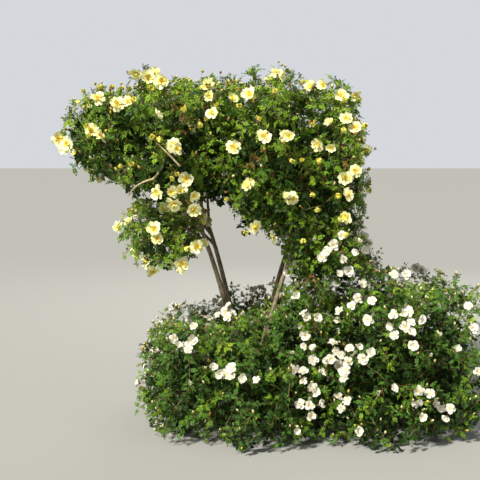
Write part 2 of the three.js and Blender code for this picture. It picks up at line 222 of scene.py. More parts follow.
def holds(mass, points):
    points = np.asarray(points)
    return (points[..., 2] >= GROUND_CLEARANCE) & (fullness(mass, points) <= 1) & inside_walls(mass, points)


for mass in masses:
    add_walls(mass)
print("walls between masses:", sum(len(mass.wall_limits) for mass in masses) // 2)

# %% [markdown]
# Fine shoots may cross a wall. They only stay `in_plant`, inside the reach of any mass, so that
# neighbours grow into each other as they do on a real shrub. The box round all the solids, a little
# enlarged, stops them too.

# %% Measure the whole plant
BOX_SPARE = 0.028
BOX_LOW, BOX_HIGH = np.array(CAD_BOX[0]) - BOX_SPARE, np.array(CAD_BOX[1]) + BOX_SPARE
ALL_MASSES = SimpleNamespace(
    centre=np.array([mass.centre for mass in masses]),
    half=np.array([mass.half for mass in masses]),
)


def fullness_of_all(points):
    """The fullness of every mass at every point, an array of (point, mass)."""
    return fullness(ALL_MASSES, points[..., None, :])


def in_plant(points, farthest=1.0):
    """True above the ground, inside the reach of any mass and inside the box of all solids, or close by."""
    in_box = ((points > BOX_LOW) & (points < BOX_HIGH)).all(-1)
    return in_box & (points[..., 2] >= GROUND_CLEARANCE) & (fullness_of_all(points).min(-1) <= farthest)


print("room for the plant:", np.round(BOX_HIGH - BOX_LOW, 2), "m")

# %% [markdown]
# ## Canes and boughs
#
# Every limb is one quadratic curve, from its foot by an elbow to its tip. The solids are made in a few
# straight steps, so what grows on a limb is placed on those steps. Other growth stays clear of the wood,
# so each limb also leaves a trail of points, each with a radius.

# %% Draw curves and leave trails
UP = np.array([0.0, 0.0, 1.0])
TRAIL_STEP = 0.012


def bezier(curve, t):
    t = np.asarray(t, float)[..., None]
    return (1 - t) ** 2 * curve[0] + 2 * t * (1 - t) * curve[1] + t * t * curve[2]


def heading(curve, t):
    t = np.asarray(t, float)[..., None]
    return unit((1 - t) * (curve[1] - curve[0]) + t * (curve[2] - curve[1]))


def on_limb(curve, size, t):
    """A point on a limb that is made in straight steps."""
    step = min(int(t * size.steps), size.steps - 1)
    start, end = bezier(curve, [step / size.steps, (step + 1) / size.steps])
    return start + (end - start) * (t * size.steps - step)


def curve_length(curve, divisions=200):
    return length_of(np.diff(bezier(curve, np.linspace(0, 1, divisions + 1)), axis=0)).sum()


def trail_of(curve, size):
    count = math.ceil(curve_length(curve) / TRAIL_STEP)
    shares = np.arange(count + 1) / count
    points = np.array([on_limb(curve, size, t) for t in shares])
    return points, size.foot + (size.tip - size.foot) * shares


quarter_arch = np.array([[0, 0, 0], [0, 0, 1], [1, 0, 1]])
print(f"an arch of one metre each way is {curve_length(quarter_arch):.2f} m long")

# %% [markdown]
# Four tall canes lean out from a lobed stool to their forks, and the rest of the wood hangs on them.
# Each limb has a radius at its foot and one at its tip, and the number of straight steps that its solid
# is made in.

# %% Name the sizes of the wood
BASE = SimpleNamespace(radius=0.098, height=0.15, lobes=5, flare=0.1)
# Rings of the stool, in shares of its radius and of its height.
BASE_PROFILE = [(1, 0), (0.78, 0.22), (0.7, 0.6), (0.58, 0.86), (0.3, 1)]
MAIN_CANE = SimpleNamespace(foot=0.021, tip=0.012, steps=8)
BOUGH = SimpleNamespace(foot=0.010, tip=0.008, steps=4)
LOW_CANE = SimpleNamespace(foot=0.0105, tip=0.008, steps=5)
STEM = SimpleNamespace(foot=0.008, tip=0.0074, steps=2)
TWIG = SimpleNamespace(foot=0.005, tip=0.0044, steps=2)
FORKS = {
    "left_front": (-0.345, -0.09, 1.3),
    "right_front": (0.29, -0.13, 1.13),
    "left_back": (-0.29, 0.25, 1.25),
    "right_back": (0.29, 0.25, 1.15),
}
print("forks at", sorted(fork[2] for fork in FORKS.values()), "m")

# %% [markdown]
# A limb ends where it enters its mass, at a height that the bank gives. A low cane comes in from the
# middle of the plant, and a bough from the side of its fork.

# %% Find where limbs enter their masses
LOW_ENTRY = SimpleNamespace(of_reach=0.72, of_way=0.7)  # how far from the mass's middle, towards the base
HIGH_ENTRY = 0.45  # the same towards the fork, in half widths, at the most


def is_low(mass):
    return mass.bank.name == "mound"


def fork_of(mass):
    return f"{'left' if mass.centre[0] < 0 else 'right'}_{mass.row}"


def entry_of(mass):
    if is_low(mass):
        inward = unit(mass.centre * (-1, -1, 0))
        to_base = math.hypot(*mass.centre[:2])
        way_in = min(LOW_ENTRY.of_reach * reach(mass, inward), LOW_ENTRY.of_way * to_base)
        entry = mass.centre + inward * way_in
    else:
        inward = (np.array(FORKS[fork_of(mass)]) - mass.centre) * (1, 1, 0)
        longest = HIGH_ENTRY * mass.half[0]
        entry = mass.centre + inward * min(1, longest / length_of(inward))
    return np.array([entry[0], entry[1], mass.centre[2] + mass.bank.entry * mass.half[2]])


print("limbs enter from", round(min(entry_of(mass)[2] for mass in masses), 2), "m up")

# %% [markdown]
# The boughs of a fork leave their tall cane one below the other, the one that runs straight on the
# highest. Each arches a little on its way.

# %% Lay out the tall canes and the boughs
MAIN_RING = 0.034  # the tall canes stand this far from the base's middle
MAIN_FOOT = 0.6  # and start at this share of its height
MAIN_ELBOW = (0.4, 0.4, 0.6)
FORK_SPACING = 0.06
BOUGH_ARCH = 0.15
BASE_AXIS = np.array([[0, 0, 0], [0, 0, 0.05], [0, 0, 0.11]])
BASE_NARROWING = 0.7
limbs = []
trails = [trail_of(BASE_AXIS, SimpleNamespace(foot=BASE.radius, tip=BASE_NARROWING * BASE.radius, steps=1))]


def add_limb(name, curve, size):
    limbs.append(SimpleNamespace(name=name, curve=curve, size=size))
    trails.append(trail_of(curve, size))
    return curve


def main_cane_to(name, tip):
    foot = unit(np.array([np.sign(tip[0]), np.sign(tip[1]), 0.0])) * MAIN_RING
    foot[2] = MAIN_FOOT * BASE.height
    return add_limb(f"main_cane_{name}", np.array([foot, tip * MAIN_ELBOW, tip]), MAIN_CANE)


def bough_from(start, mass):
    entry = entry_of(mass)
    elbow = (start + entry) / 2 + UP * BOUGH_ARCH * length_of(entry - start)
    return add_limb(f"bough_{mass.name}", np.array([start, elbow, entry]), BOUGH)


for fork_name, fork in FORKS.items():
    tip = np.array(fork)
    cane = main_cane_to(fork_name, tip)
    carried = [mass for mass in masses if not is_low(mass) and fork_of(mass) == fork_name]
    carried.sort(key=lambda mass: -float(unit(entry_of(mass) - tip) @ heading(cane, 1)))
    for n, mass in enumerate(carried):
        mass.limb = bough_from(bezier(cane, 1 - FORK_SPACING * n), mass)
print("tall canes and boughs:", len(limbs))

# %% [markdown]
# The low canes leave the base all round it, in the order of their masses, so that none of them cross. The
# farther one has to go, the higher it arches.

# %% Lay out the low canes
LOW_RING = 0.06
LOW_FOOT = 0.3  # the share of the base's height at which a low cane starts
LOW_ELBOW = 0.45
LOW_ARCH = SimpleNamespace(rise=0.28, beyond=0.3)


def bearing(mass):
    entry = entry_of(mass)
    return math.atan2(entry[1], entry[0])


low_masses = sorted(filter(is_low, masses), key=bearing)
spacing = 2 * math.pi / len(low_masses)
offset = sum(bearing(mass) - spacing * n for n, mass in enumerate(low_masses)) / len(low_masses)
for n, mass in enumerate(low_masses):
    turn = (bearing(mass) + offset + spacing * n) / 2
    foot = np.array([LOW_RING * math.cos(turn), LOW_RING * math.sin(turn), LOW_FOOT * BASE.height])
    entry = entry_of(mass)
    elbow = foot + LOW_ELBOW * (entry - foot)
    elbow[2] = entry[2] + LOW_ARCH.rise * (math.hypot(*entry[:2]) - LOW_ARCH.beyond)
    mass.limb = add_limb(f"low_cane_{mass.name}", np.array([foot, elbow, entry]), LOW_CANE)

LIMB_POINTS = np.concatenate([points for points, _ in trails])
LIMB_RADII = np.concatenate([radii for _, radii in trails])
print("limbs:", len(limbs), "with", len(LIMB_POINTS), "points to keep clear of")

# %% [markdown]
# ## The twigs of a mass
#
# The solids grow up to nine strong twigs in each mass by a seeded rule. The same rule with the same
# stream of numbers gives the same twigs, so each one stands where its solid does. Some of them end in an
# open flower that shows from the front, and the mass that is nearest to such a flower carries it.

# %% Name the flowers that end a twig
BLOOMS = [
    (-1.08, 1.72), (-0.9, 1.79), (-0.69, 1.96), (-0.54, 2.13), (-0.42, 1.7), (-0.25, 2.06), (-0.13, 1.7),
    (-0.1, 1.98), (0.14, 2.15), (0.19, 1.76), (0.36, 2.09), (0.4, 1.72), (0.52, 2.02), (0.54, 1.52),
    (0.23, 1.4), (-0.02, 1.48), (-0.54, 1.18), (-0.4, 1.01), (0.52, 1.21), (0.4, 1.08), (0.6, 0.95),
    (-0.36, 0.59), (-0.15, 0.47), (0.31, 0.76), (0.54, 0.57), (0.36, 0.33), (0.84, 0.74), (0.99, 0.86),
    (0.98, 0.32), (1.26, 0.7),
]
NEAR_SURFACE = 0.94  # twigs end this far out, as a share of the mass's own reach
LEAST_FORWARD = 0.08


def nearest_front(x, z):
    def off(mass):
        return math.hypot((x - mass.centre[0]) / mass.half[0], (z - mass.centre[2]) / mass.half[2])

    return min((mass for mass in masses if mass.row == "front"), key=off)


def bloom_place(mass, x, z):
    """The place on the near side of a mass that shows at x and z from the front."""
    dx = min(max((x - mass.centre[0]) / mass.half[0], -NEAR_SURFACE), NEAR_SURFACE)
    dz = min(max((z - mass.centre[2]) / mass.half[2], -NEAR_SURFACE), NEAR_SURFACE)
    rest = 1 - abs(dx) ** MASS_SQUARENESS - abs(dz) ** MASS_SQUARENESS
    dy = -(max(LEAST_FORWARD, rest) ** (1 / MASS_SQUARENESS))
    return mass.centre + np.array([dx, dy, dz]) * NEAR_SURFACE * mass.half


print("flowers at twig tips:", len(BLOOMS))

# %% [markdown]
# The other tips are spread over the mass by the golden angle, each pulled in until the mass holds it,
# and kept apart from the tips before it. The stream of numbers is a plain one that any language can
# repeat.

# %% Choose where the twigs end
GOLDEN_ANGLE = math.pi * (3 - math.sqrt(5))
TWIGS_PER_MASS = 9
TWIG_ROOM = 0.5  # least distance between two tips, in half widths of their mass
FLOWER_SHARE = 0.2  # of the twigs that the list of flowers doesn't name
PULL_IN = SimpleNamespace(share=0.92, down_to=0.04)
LEVEL_STEP = 5


def seeded(seed):
    """A repeatable stream of numbers from 0 to 1."""
    state = seed

    def draw():
        nonlocal state
        state = (state * 1664525 + 1013904223) % 2 ** 32
        return state / 2 ** 32

    return draw


def targets_of(mass, draw):
    own = [spot for spot in BLOOMS if mass.row == "front" and nearest_front(*spot) is mass]
    targets = [(bloom_place(mass, x, z), True) for x, z in own]
    spin = 2 * math.pi * draw()
    spread = 2 * TWIGS_PER_MASS
    for i in range(spread):
        if len(targets) >= TWIGS_PER_MASS:
            break
        level = (LEVEL_STEP * i) % spread
        z = 1 - 2 * (level + 0.5) / spread
        turn = spin + level * GOLDEN_ANGLE
        flat = math.sqrt(1 - z * z)
        way = np.array([math.cos(turn) * flat, math.sin(turn) * flat, z])
        out = way * NEAR_SURFACE * reach(mass, way)
        while not holds(mass, mass.centre + out) and length_of(out) > PULL_IN.down_to:
            out = out * PULL_IN.share
        at = mass.centre + out
        if all(length_of(other - at) >= TWIG_ROOM * mass.half[0] for other, _ in targets):
            targets.append((at, draw() < FLOWER_SHARE))
    return targets


print("one draw from the stream:", round(seeded(masses[0].seed)(), 4))

# %% [markdown]
# A stem runs from the bough's tip to a hub near the middle of the mass, and the twigs leave it one after
# the other. A twig that would leave the space or come near a limb is tried again from another place.

# %% Grow the strong twigs
TWIG_TRIES = 8
LIMB_CLEARANCE = 0.013
LIMB_SEARCH = 0.06
SEAT_GAP = 0.00035  # clear gap where a stem sits on its bough
HUB_DROP = 0.1
STEM_BEND = 0.4
TWIG_FEET = (0.25, 0.72)  # along the stem: where the first one may start, and the length they share
TWIG_ELBOW = 0.55
TWIG_LIFT = (0.06, 0.2)


def near_limbs(mass):
    low = mass.centre - mass.half - LIMB_SEARCH
    high = mass.centre + mass.half + LIMB_SEARCH
    near = ((LIMB_POINTS > low) & (LIMB_POINTS < high)).all(-1)
    return LIMB_POINTS[near], LIMB_RADII[near] + LIMB_CLEARANCE


def clear_of(points, trail):
    trail_points, distances = trail
    if len(trail_points) == 0:
        return np.ones(len(points), bool)
    return (length_of(points[:, None] - trail_points) > distances).all(-1)


def twig_fits(mass, curve):
    points = trail_of(curve, TWIG)[0][1:]
    return holds(mass, points).all() and clear_of(points, mass.near_limbs).all()


def strong_twigs(mass):
    draw = seeded(mass.seed)
    onwards = mass.stem[2] - mass.stem[0]
    targets = sorted(targets_of(mass, draw), key=lambda target: float(target[0] @ onwards))
    twigs = []
    for n, (at, flower) in enumerate(targets):
        for _ in range(TWIG_TRIES):
            start = on_limb(mass.stem, STEM, TWIG_FEET[0] + TWIG_FEET[1] * (n + draw()) / len(targets))
            lift = (TWIG_LIFT[0] + TWIG_LIFT[1] * draw()) * length_of(at - start)
            curve = np.array([start, start + TWIG_ELBOW * (at - start) + UP * lift, at])
            if twig_fits(mass, curve):
                twigs.append((curve, flower))
                break
    return twigs


for mass in masses:
    mass.near_limbs = near_limbs(mass)
    end_heading = heading(mass.limb, 1)
    foot = mass.limb[2] + end_heading * SEAT_GAP
    hub = mass.centre - UP * HUB_DROP * mass.half[2]
    mass.stem = np.array([foot, foot + end_heading * STEM_BEND * length_of(hub - foot), hub])
    mass.twigs = strong_twigs(mass)
print("strong twigs:", sum(len(mass.twigs) for mass in masses))

# %% [markdown]
# ## Where the open flowers sit
#
# The flowers are what the eye reads first, so the ones that face the camera are put where they belong.
# Each spray is named by where it is seen against a plane through the front of the plant, and by how many
# flowers are open in it, with 0 for a single one that is still half closed.

# %% List the sprays of flowers
SPRAYS = {
    "yellow": [
        (0.15, 2.10, 1), (-0.61, 2.10, 2), (-0.50, 2.07, 1), (0.37, 2.04, 2), (-0.84, 2.02, 0),
        (-0.24, 2.02, 2), (0.12, 2.00, 0), (0.58, 1.99, 1), (-0.01, 1.99, 1), (-0.86, 1.97, 1),
        (-0.98, 1.96, 0), (0.52, 1.95, 0), (-0.75, 1.94, 1), (-0.08, 1.93, 0), (-0.20, 1.93, 0),
        (-0.37, 1.90, 0), (-0.22, 1.89, 1), (-0.53, 1.88, 1), (0.03, 1.86, 0), (0.53, 1.86, 1),
        (-0.29, 1.84, 0), (0.44, 1.83, 1), (-0.92, 1.82, 0), (0.58, 1.81, 1), (0.51, 1.78, 0),
        (-0.85, 1.76, 1), (0.07, 1.76, 1), (0.21, 1.76, 1), (-0.56, 1.75, 0), (-1.06, 1.72, 2),
        (0.41, 1.71, 2), (-0.10, 1.70, 1), (-0.42, 1.69, 1), (0.22, 1.63, 0), (-0.68, 1.60, 0),
        (-0.42, 1.55, 0), (0.56, 1.55, 2), (-0.02, 1.48, 1), (0.50, 1.43, 0), (0.54, 1.43, 1),
        (0.21, 1.41, 1), (-0.13, 1.40, 0), (-0.46, 1.42, 3), (-0.38, 1.43, 5), (0.54, 1.31, 1),
        (0.50, 1.28, 0), (0.02, 1.25, 1), (-0.55, 1.24, 1), (0.55, 1.21, 0), (0.12, 1.19, 1),
        (0.28, 1.17, 0), (-0.31, 1.14, 1), (-0.38, 1.13, 0), (-0.39, 1.00, 1), (-0.58, 0.93, 1),
    ],
    "white": [
        (0.36, 1.19, 0), (0.61, 1.17, 0), (0.45, 1.13, 2), (0.65, 1.12, 1), (0.60, 1.11, 1),
        (0.52, 1.07, 1), (0.53, 0.99, 2), (0.88, 0.98, 1), (0.81, 0.98, 1), (0.83, 0.95, 0),
        (0.63, 0.93, 1), (0.17, 0.86, 0), (0.25, 0.86, 1), (0.69, 0.83, 1), (0.59, 0.82, 2),
        (0.50, 0.77, 1), (0.30, 0.76, 1), (0.83, 0.74, 3), (0.37, 0.73, 1), (0.67, 0.72, 1),
        (0.93, 0.70, 4), (0.29, 0.68, 0), (0.82, 0.63, 1), (1.08, 0.63, 0), (0.31, 0.63, 1),
        (-0.34, 0.60, 1), (-0.43, 0.59, 2), (0.93, 0.57, 1), (-0.36, 0.55, 1), (0.23, 0.53, 0),
        (0.35, 0.53, 3), (1.03, 0.51, 0), (0.47, 0.53, 3), (0.52, 0.50, 5), (0.60, 0.50, 4),
        (0.25, 0.43, 1), (0.46, 0.46, 3), (-0.20, 0.42, 2), (0.39, 0.42, 0), (-0.10, 0.40, 3),
        (0.30, 0.39, 2), (0.03, 0.36, 1), (-0.35, 0.35, 0), (0.54, 0.40, 2), (0.53, 0.26, 2),
        (0.35, 0.33, 1), (0.83, 0.31, 1), (0.97, 0.30, 1), (1.03, 0.29, 1), (0.74, 0.28, 0),
        (0.34, 0.26, 0), (0.96, 0.23, 1), (1.08, 0.22, 2), (0.52, 0.20, 1), (1.15, 0.20, 1),
        (0.33, 0.20, 4), (0.99, 0.15, 1), (1.13, 0.15, 1), (0.62, 0.07, 1), (0.26, 0.07, 1),
        (1.18, 0.55, 1), (1.24, 0.80, 1), (1.30, 0.42, 1),
    ],
}
print("sprays in sight:", {tone: len(spots) for tone, spots in SPRAYS.items()})

# %% [markdown]
# A line of sight is followed from the eye through the named spot until it enters a mass, and the spray
# opens there. That way it shows in the same place whatever the depth of the mass behind it.

# %% Follow a line of sight to the plant
FRONT_PLANE = -0.6
SIGHT_STEPS = np.linspace(-0.95, 0.1, 211)  # the planes, front to back, at which a line of sight is tested
SPRAY_DEPTH = 1.0  # flowers in sight sit this far out in their mass
LEAST_HEIGHT = 0.05


def sight_point(x, z):
    """Where the line of sight through a spot of the front plane enters the plant, and in which mass."""
    eye = np.array(EYE)
    way = np.array([x, FRONT_PLANE, z]) - eye
    along = eye + way * ((SIGHT_STEPS - EYE.y) / way[1])[:, None]
    fronts = [mass for mass in masses if mass.row == "front"]
    depths = np.stack([fullness(mass, along) for mass in fronts], -1)
    inside = np.nonzero(depths.min(-1) <= SPRAY_DEPTH)[0]
    spot = inside[0] if len(inside) else depths.min(-1).argmin()
    mass = fronts[depths[spot].argmin()]
    point = mass.centre + (along[spot] - mass.centre) * min(1, SPRAY_DEPTH / depths[spot].min())
    return mass, np.array([point[0], point[1], max(point[2], LEAST_HEIGHT)])


print("the first spray in sight opens in", sight_point(*SPRAYS["yellow"][0][:2])[0].name)

# %% [markdown]
# The flowers of a spray open side by side: two face each other, and more stand in a spiral. Each nods
# its own way from the spray's outlook, which is outward, a little up, and towards the light and the eye
# in front.

# %% Open a spray
FLOWER_RADIUS = {"yellow": 0.048, "white": 0.035}
FLOWER_NODDING = {"yellow": 0.58, "white": 0.42}
FLOWERS_LOW = np.array(CAD_BOX[0]) + (0.01, 0.01, 0.045)
FLOWERS_HIGH = np.array(CAD_BOX[1]) - 0.01
HALF_OPEN = 3
KIND_SHARES = [0.42, 0.33, 0.25]  # flat, open and cupped
OUTLOOK = SimpleNamespace(side=0.5, up=0.35)
SPRAY_LOOK = SimpleNamespace(outward=0.7, to_eye=0.6, behind=UP * 0.3)
PAIR_STEP = 0.75  # how far each flower of a pair stands from the middle, in radii
SPIRAL_START = 0.3
SPREADING = 0.25  # the flowers of a spray lean apart
SETBACK = (-0.5, 0.2)


def outlook(mass, points):
    """Outward and a little up: the way that leaves and flowers face."""
    side = -OUTLOOK.side if mass.row == "front" else OUTLOOK.side
    return unit((points - mass.centre) / mass.half + np.array([0, side, OUTLOOK.up]))


def bank_colour(mass):
    return "white" if mass.bank.name in ("shoulder", "mound") else "yellow"


def flower_at(place, way, tone, rng, half_open=False):
    kind = HALF_OPEN if half_open else rng.choice(len(KIND_SHARES), p=KIND_SHARES)
    return SimpleNamespace(place=place, way=unit(way), tone=tone, kind=kind)


def spray_of(mass, point, count, tone, rng):
    """Flowers that open side by side round a point."""
    radius = FLOWER_RADIUS[tone]
    to_eye = unit(np.array(EYE) - point) if mass.row == "front" else SPRAY_LOOK.behind
    look = unit(outlook(mass, point) * SPRAY_LOOK.outward + to_eye * SPRAY_LOOK.to_eye)
    across = unit(np.cross(look, UP))
    other = np.cross(across, look)
    spin = rng.uniform(0, 2 * math.pi)
    flowers = []
    for n in range(max(count, 1)):
        out = 0 if count < 2 else radius * (PAIR_STEP if count == 2 else math.sqrt(n + SPIRAL_START))
        turn = spin + n * (math.pi if count == 2 else GOLDEN_ANGLE)
        shift = across * math.cos(turn) * out + other * math.sin(turn) * out
        way = look + shift / radius * SPREADING + rng.normal(0, FLOWER_NODDING[tone], 3)
        place = np.clip(point + shift + look * rng.uniform(*SETBACK) * out, FLOWERS_LOW, FLOWERS_HIGH)
        flowers.append(flower_at(place, way, tone, rng, half_open=count == 0))
    return SimpleNamespace(mass=mass, point=point, flowers=flowers)


rng = np.random.default_rng(11)
sprays = []
for tone, spots in SPRAYS.items():
    for x, z, count in spots:
        mass, point = sight_point(x, z)
        sprays.append(spray_of(mass, point, count, tone, rng))
print("sprays in sight:", len(sprays), "with", sum(len(spray.flowers) for spray in sprays), "flowers")

# %% [markdown]
# The other sides get sprays from a seeded stream, as thickly as the near side. The crown has small
# half-open flowers of a deeper yellow all over its front as well, and they are dealt out in the same
# way.

# %% Open the other sprays
OTHER_SPRAYS = {"crown": 34, "hanging": 16, "shoulder": 18, "mound": 34}
OTHER_DEPTH = 0.96
OTHER_WAYS = SimpleNamespace(spread=(1.3, 1, 1), lean=np.array([0.25, 0.45, 0.35]))
OUT_OF_SIGHT = SimpleNamespace(back=0.3, right=0.85)  # a front mass gets none short of both
LATE_FLOWERS = 11
LATE_WAYS = SimpleNamespace(spread=(1, 0.5, 1), lean=np.array([0, -0.9, 0.1]))
# The least fullness of a spray's place, so that none opens between two masses.
OUTERMOST = SimpleNamespace(sprays=0.93, late=0.9)


def seeded_point(mass, ways, rng):
    way = unit(rng.normal(size=3) * ways.spread + ways.lean)
    return way, mass.centre + way * OTHER_DEPTH * reach(mass, way)


for mass in masses:
    for _ in range(OTHER_SPRAYS[mass.bank.name]):
        way, point = seeded_point(mass, OTHER_WAYS, rng)
        if mass.row == "front" and way[1] < OUT_OF_SIGHT.back and way[0] < OUT_OF_SIGHT.right:
            continue
        if point[2] > LEAST_HEIGHT and fullness_of_all(point).min() > OUTERMOST.sprays:
            sprays.append(spray_of(mass, point, int(rng.integers(0, 4)), bank_colour(mass), rng))
for mass in masses:
    if mass.row == "front" and mass.bank.name == "crown":
        for _ in range(LATE_FLOWERS):
            _, point = seeded_point(mass, LATE_WAYS, rng)
            if fullness_of_all(point).min() > OUTERMOST.late:
                sprays.append(spray_of(mass, point, 0, "yellow", rng))
print("all sprays:", len(sprays), "with", sum(len(spray.flowers) for spray in sprays), "flowers")

# %% [markdown]
# ## Shoots
#
# From the strong twigs the plant goes on branching, by the rule of the twigs again, one size finer. The
# shoots aim at targets that are spread evenly through the plant, on a grid that is shaken up. Growth
# thins out towards the surface and in soft patches, less so where two masses meet and low down, where
# the leaves hang to the ground as a skirt.

# %% Spread the targets of the shoots
SHOOT_SPACING = {"crown": 0.084, "hanging": 0.084, "shoulder": 0.077, "mound": 0.082}
LUSHNESS = {"crown": 1.15, "hanging": 0.72, "shoulder": 1.05, "mound": 1.15}
RAGGEDNESS = {"crown": 0.11, "hanging": 0.1, "shoulder": 0.1, "mound": 0.15}
SKIRT = SimpleNamespace(height=0.35, spare=0.16)
BLENDING = 7  # less of it fills the valleys between masses more
SHAKE = 0.45
BORDER_MIX = 0.04
THINNING = SimpleNamespace(start=0.74, rate=6, patches=0.2)
PATCHES = 10
PATCH_SIZES = (0.16, 0.5)
rng = np.random.default_rng(17)
PATCH_WAVES = unit(rng.normal(size=(PATCHES, 3))) * 2 * math.pi / rng.uniform(*PATCH_SIZES, (PATCHES, 1))
PATCH_STARTS = rng.uniform(0, 2 * math.pi, PATCHES)


def patchiness(points):
    """Soft dips and rises of growth, mostly from -1 to 1."""
    return np.sin(points @ PATCH_WAVES.T + PATCH_STARTS).sum(-1) / math.sqrt(PATCHES)


def shoot_targets(number, mass, rng):
    spacing = SHOOT_SPACING[mass.bank.name]
    low, high = mass.centre - mass.half, mass.centre + mass.half
    lines = [np.arange(a + spacing * rng.random(), b, spacing) for a, b in zip(low, high)]
    grid = np.stack(np.meshgrid(*lines, indexing="ij"), -1).reshape(-1, 3)
    grid += rng.uniform(-SHAKE, SHAKE, grid.shape) * spacing
    full = fullness_of_all(grid)
    own = (full + rng.normal(0, BORDER_MIX, full.shape)).argmin(-1) == number
    blended = -np.log(np.exp(-BLENDING * full).sum(-1)) / BLENDING
    fullest = blended + RAGGEDNESS[mass.bank.name] * patchiness(grid)
    dense_to = THINNING.start + SKIRT.spare * np.maximum(0, 1 - grid[:, 2] / SKIRT.height)
    chance = LUSHNESS[mass.bank.name] - THINNING.rate * np.maximum(0, fullest - dense_to)
    chance = chance + THINNING.patches * patchiness(grid[:, [1, 2, 0]])
    return grid[own & in_plant(grid) & (fullest < 1) & (rng.random(len(grid)) < chance)]


print("targets in the first mass:", len(shoot_targets(0, masses[0], np.random.default_rng(0))))

# %% [markdown]
# Lone sprigs stand out of the rest, because a shrub that is never clipped has a ragged outline. Most go
# up and outwards, and the mound has low ones round its foot too, where it trails on the ground.

# %% Spread the targets of the sprigs
SPRIGS = {"crown": 36, "hanging": 26, "shoulder": 22, "mound": 24}
SPRIG_LEAN = SimpleNamespace(side=0.4, up=0.3)
SPRIG_REACH = (0.93, 1.0)
LOW_SPRIGS = 14
LOW_SPRIG_WAYS = SimpleNamespace(spread=(0.6, 0.5, 0.12), side=3, up=-0.42)
SPRIG_LIMITS = SimpleNamespace(fullness=0.9, height=0.04)


def sprig_targets(mass, rng):
    """Spots on the plant's outer surface, mostly upwards and outwards, and low ones round the foot."""
    side = -SPRIG_LEAN.side if mass.row == "front" else SPRIG_LEAN.side
    ways = rng.normal(size=(SPRIGS[mass.bank.name], 3)) + np.array([0, side, SPRIG_LEAN.up])
    if is_low(mass):
        lean = np.array([0, LOW_SPRIG_WAYS.side * side, LOW_SPRIG_WAYS.up])
        ways = np.concatenate([ways, rng.normal(size=(LOW_SPRIGS, 3)) * LOW_SPRIG_WAYS.spread + lean])
    ways = unit(ways)
    spots = mass.centre + ways * (rng.uniform(*SPRIG_REACH, len(ways)) * reach(mass, ways))[:, None]
    outermost = fullness_of_all(spots).min(-1) > SPRIG_LIMITS.fullness
    return spots[outermost & (spots[:, 2] > SPRIG_LIMITS.height)]


print("sprigs to try:", sum(SPRIGS[mass.bank.name] + LOW_SPRIGS * is_low(mass) for mass in masses))

# %% [markdown]
# Each target is joined by a bent shoot to the best place that its mass already has: near, and such that
# the shoot runs on forwards. A shoot that would leave the plant or touch a limb takes the next best
# place, and after a few tries it is left out.

# %% Keep the places where a shoot can start
SITE_STEP = 0.016
SITES_FROM = SimpleNamespace(stem=0.3, twig=0.2, shoot=0.35, inner_cane=0.3, shown_cane=0.8)
SHOOT_SITES = 8
SHOOT_LENGTHS = SimpleNamespace(least=0.012, most=0.3)
SPRIG_LENGTHS = SimpleNamespace(least=0.12, most=0.4)
CHOICES = 5
FORWARD_GAIN = (1.35, 0.6)
SHOOT_BEND = SimpleNamespace(onward=0.22, lift=0.16, stray=0.08)


class Network:
    """The places of one mass where a shoot can start."""

    def __init__(self, mass):
        self.mass = mass
        self.points, self.ways, self.shoots = np.zeros((0, 3)), np.zeros((0, 3)), []
        self.add_sites(mass.stem, SITES_FROM.stem)
        for curve, _ in mass.twigs:
            self.add_sites(curve, SITES_FROM.twig)

    def add_sites(self, curve, start):
        count = max(3, int(curve_length(curve, 8) / SITE_STEP))
        shares = np.linspace(start, 1, count)
        self.points = np.concatenate([self.points, bezier(curve, shares)])
        self.ways = np.concatenate([self.ways, heading(curve, shares)])

    def join(self, target, rng, longest=SHOOT_LENGTHS.most, shortest=SHOOT_LENGTHS.least):
        """Grows a shoot to target, and says whether it could.

        A place nearer than shortest is no better for it.
        """
        offsets = target - self.points
        distances = length_of(offsets)
        forward = (offsets * self.ways).sum(-1) / np.maximum(distances, TINY)
        cost = np.maximum(distances, shortest) * (FORWARD_GAIN[0] - FORWARD_GAIN[1] * forward)
        for pick in np.argsort(cost)[:CHOICES]:
            distance = distances[pick]
            if distance < SHOOT_LENGTHS.least or distance > longest:
                continue
            start = self.points[pick]
            lift = rng.uniform(0, SHOOT_BEND.lift)
            stray = rng.uniform(-SHOOT_BEND.stray, SHOOT_BEND.stray, 3)
            bend = self.ways[pick] * SHOOT_BEND.onward + UP * lift + stray
            curve = np.array([start, start + 0.5 * offsets[pick] + bend * distance, target])
            points = bezier(curve, np.linspace(0, 1, SHOOT_SITES))[1:]
            if in_plant(points[:-1]).all() and clear_of(points, self.mass.near_limbs).all():
                self.shoots.append(curve)
                self.add_sites(curve, SITES_FROM.shoot)
                return True
        return False


print("places to start from in the first mass:", len(Network(masses[0]).points))

# %% [markdown]
# In two places an old pale cane comes through the leaves and stays bare. It starts at the hub of a mass
# and runs on, just under the surface, through three spots that are named by where they are seen.

# %% Lead two bare canes out
BARE_CANES = [
    ((-0.4, 1.59), (-0.472, 1.665), (-0.535, 1.725)),
    ((-0.56, 1.51), (-0.645, 1.476), (-0.713, 1.4)),
]
CANE_DEPTH = 0.96
CANE_LEAD = 0.08  # how far before the first spot the cane already runs in line with the rest
CANE_BEND = 0.4


def bare_cane(spots):
    """A cane from the middle of a mass to the plant's surface, and on through three spots seen there."""
    mass, start = sight_point(*spots[0])
    middle, end = (sight_point(*spot)[1] for spot in spots[1:])
    start, middle, end = (
        mass.centre + (point - mass.centre) * CANE_DEPTH for point in (start, middle, end)
    )
    shown = np.array([start, 2 * middle - (start + end) / 2, end])
    hub = mass.stem[2]
    lead = unit(shown[1] - start) * CANE_LEAD
    inner = np.array([hub, start + (hub - start) * CANE_BEND - lead, start])
    return SimpleNamespace(mass=mass, inner=inner, shown=shown)


bare_canes = [bare_cane(spots) for spots in BARE_CANES]
print("bare canes come out of", [cane.mass.name for cane in bare_canes])

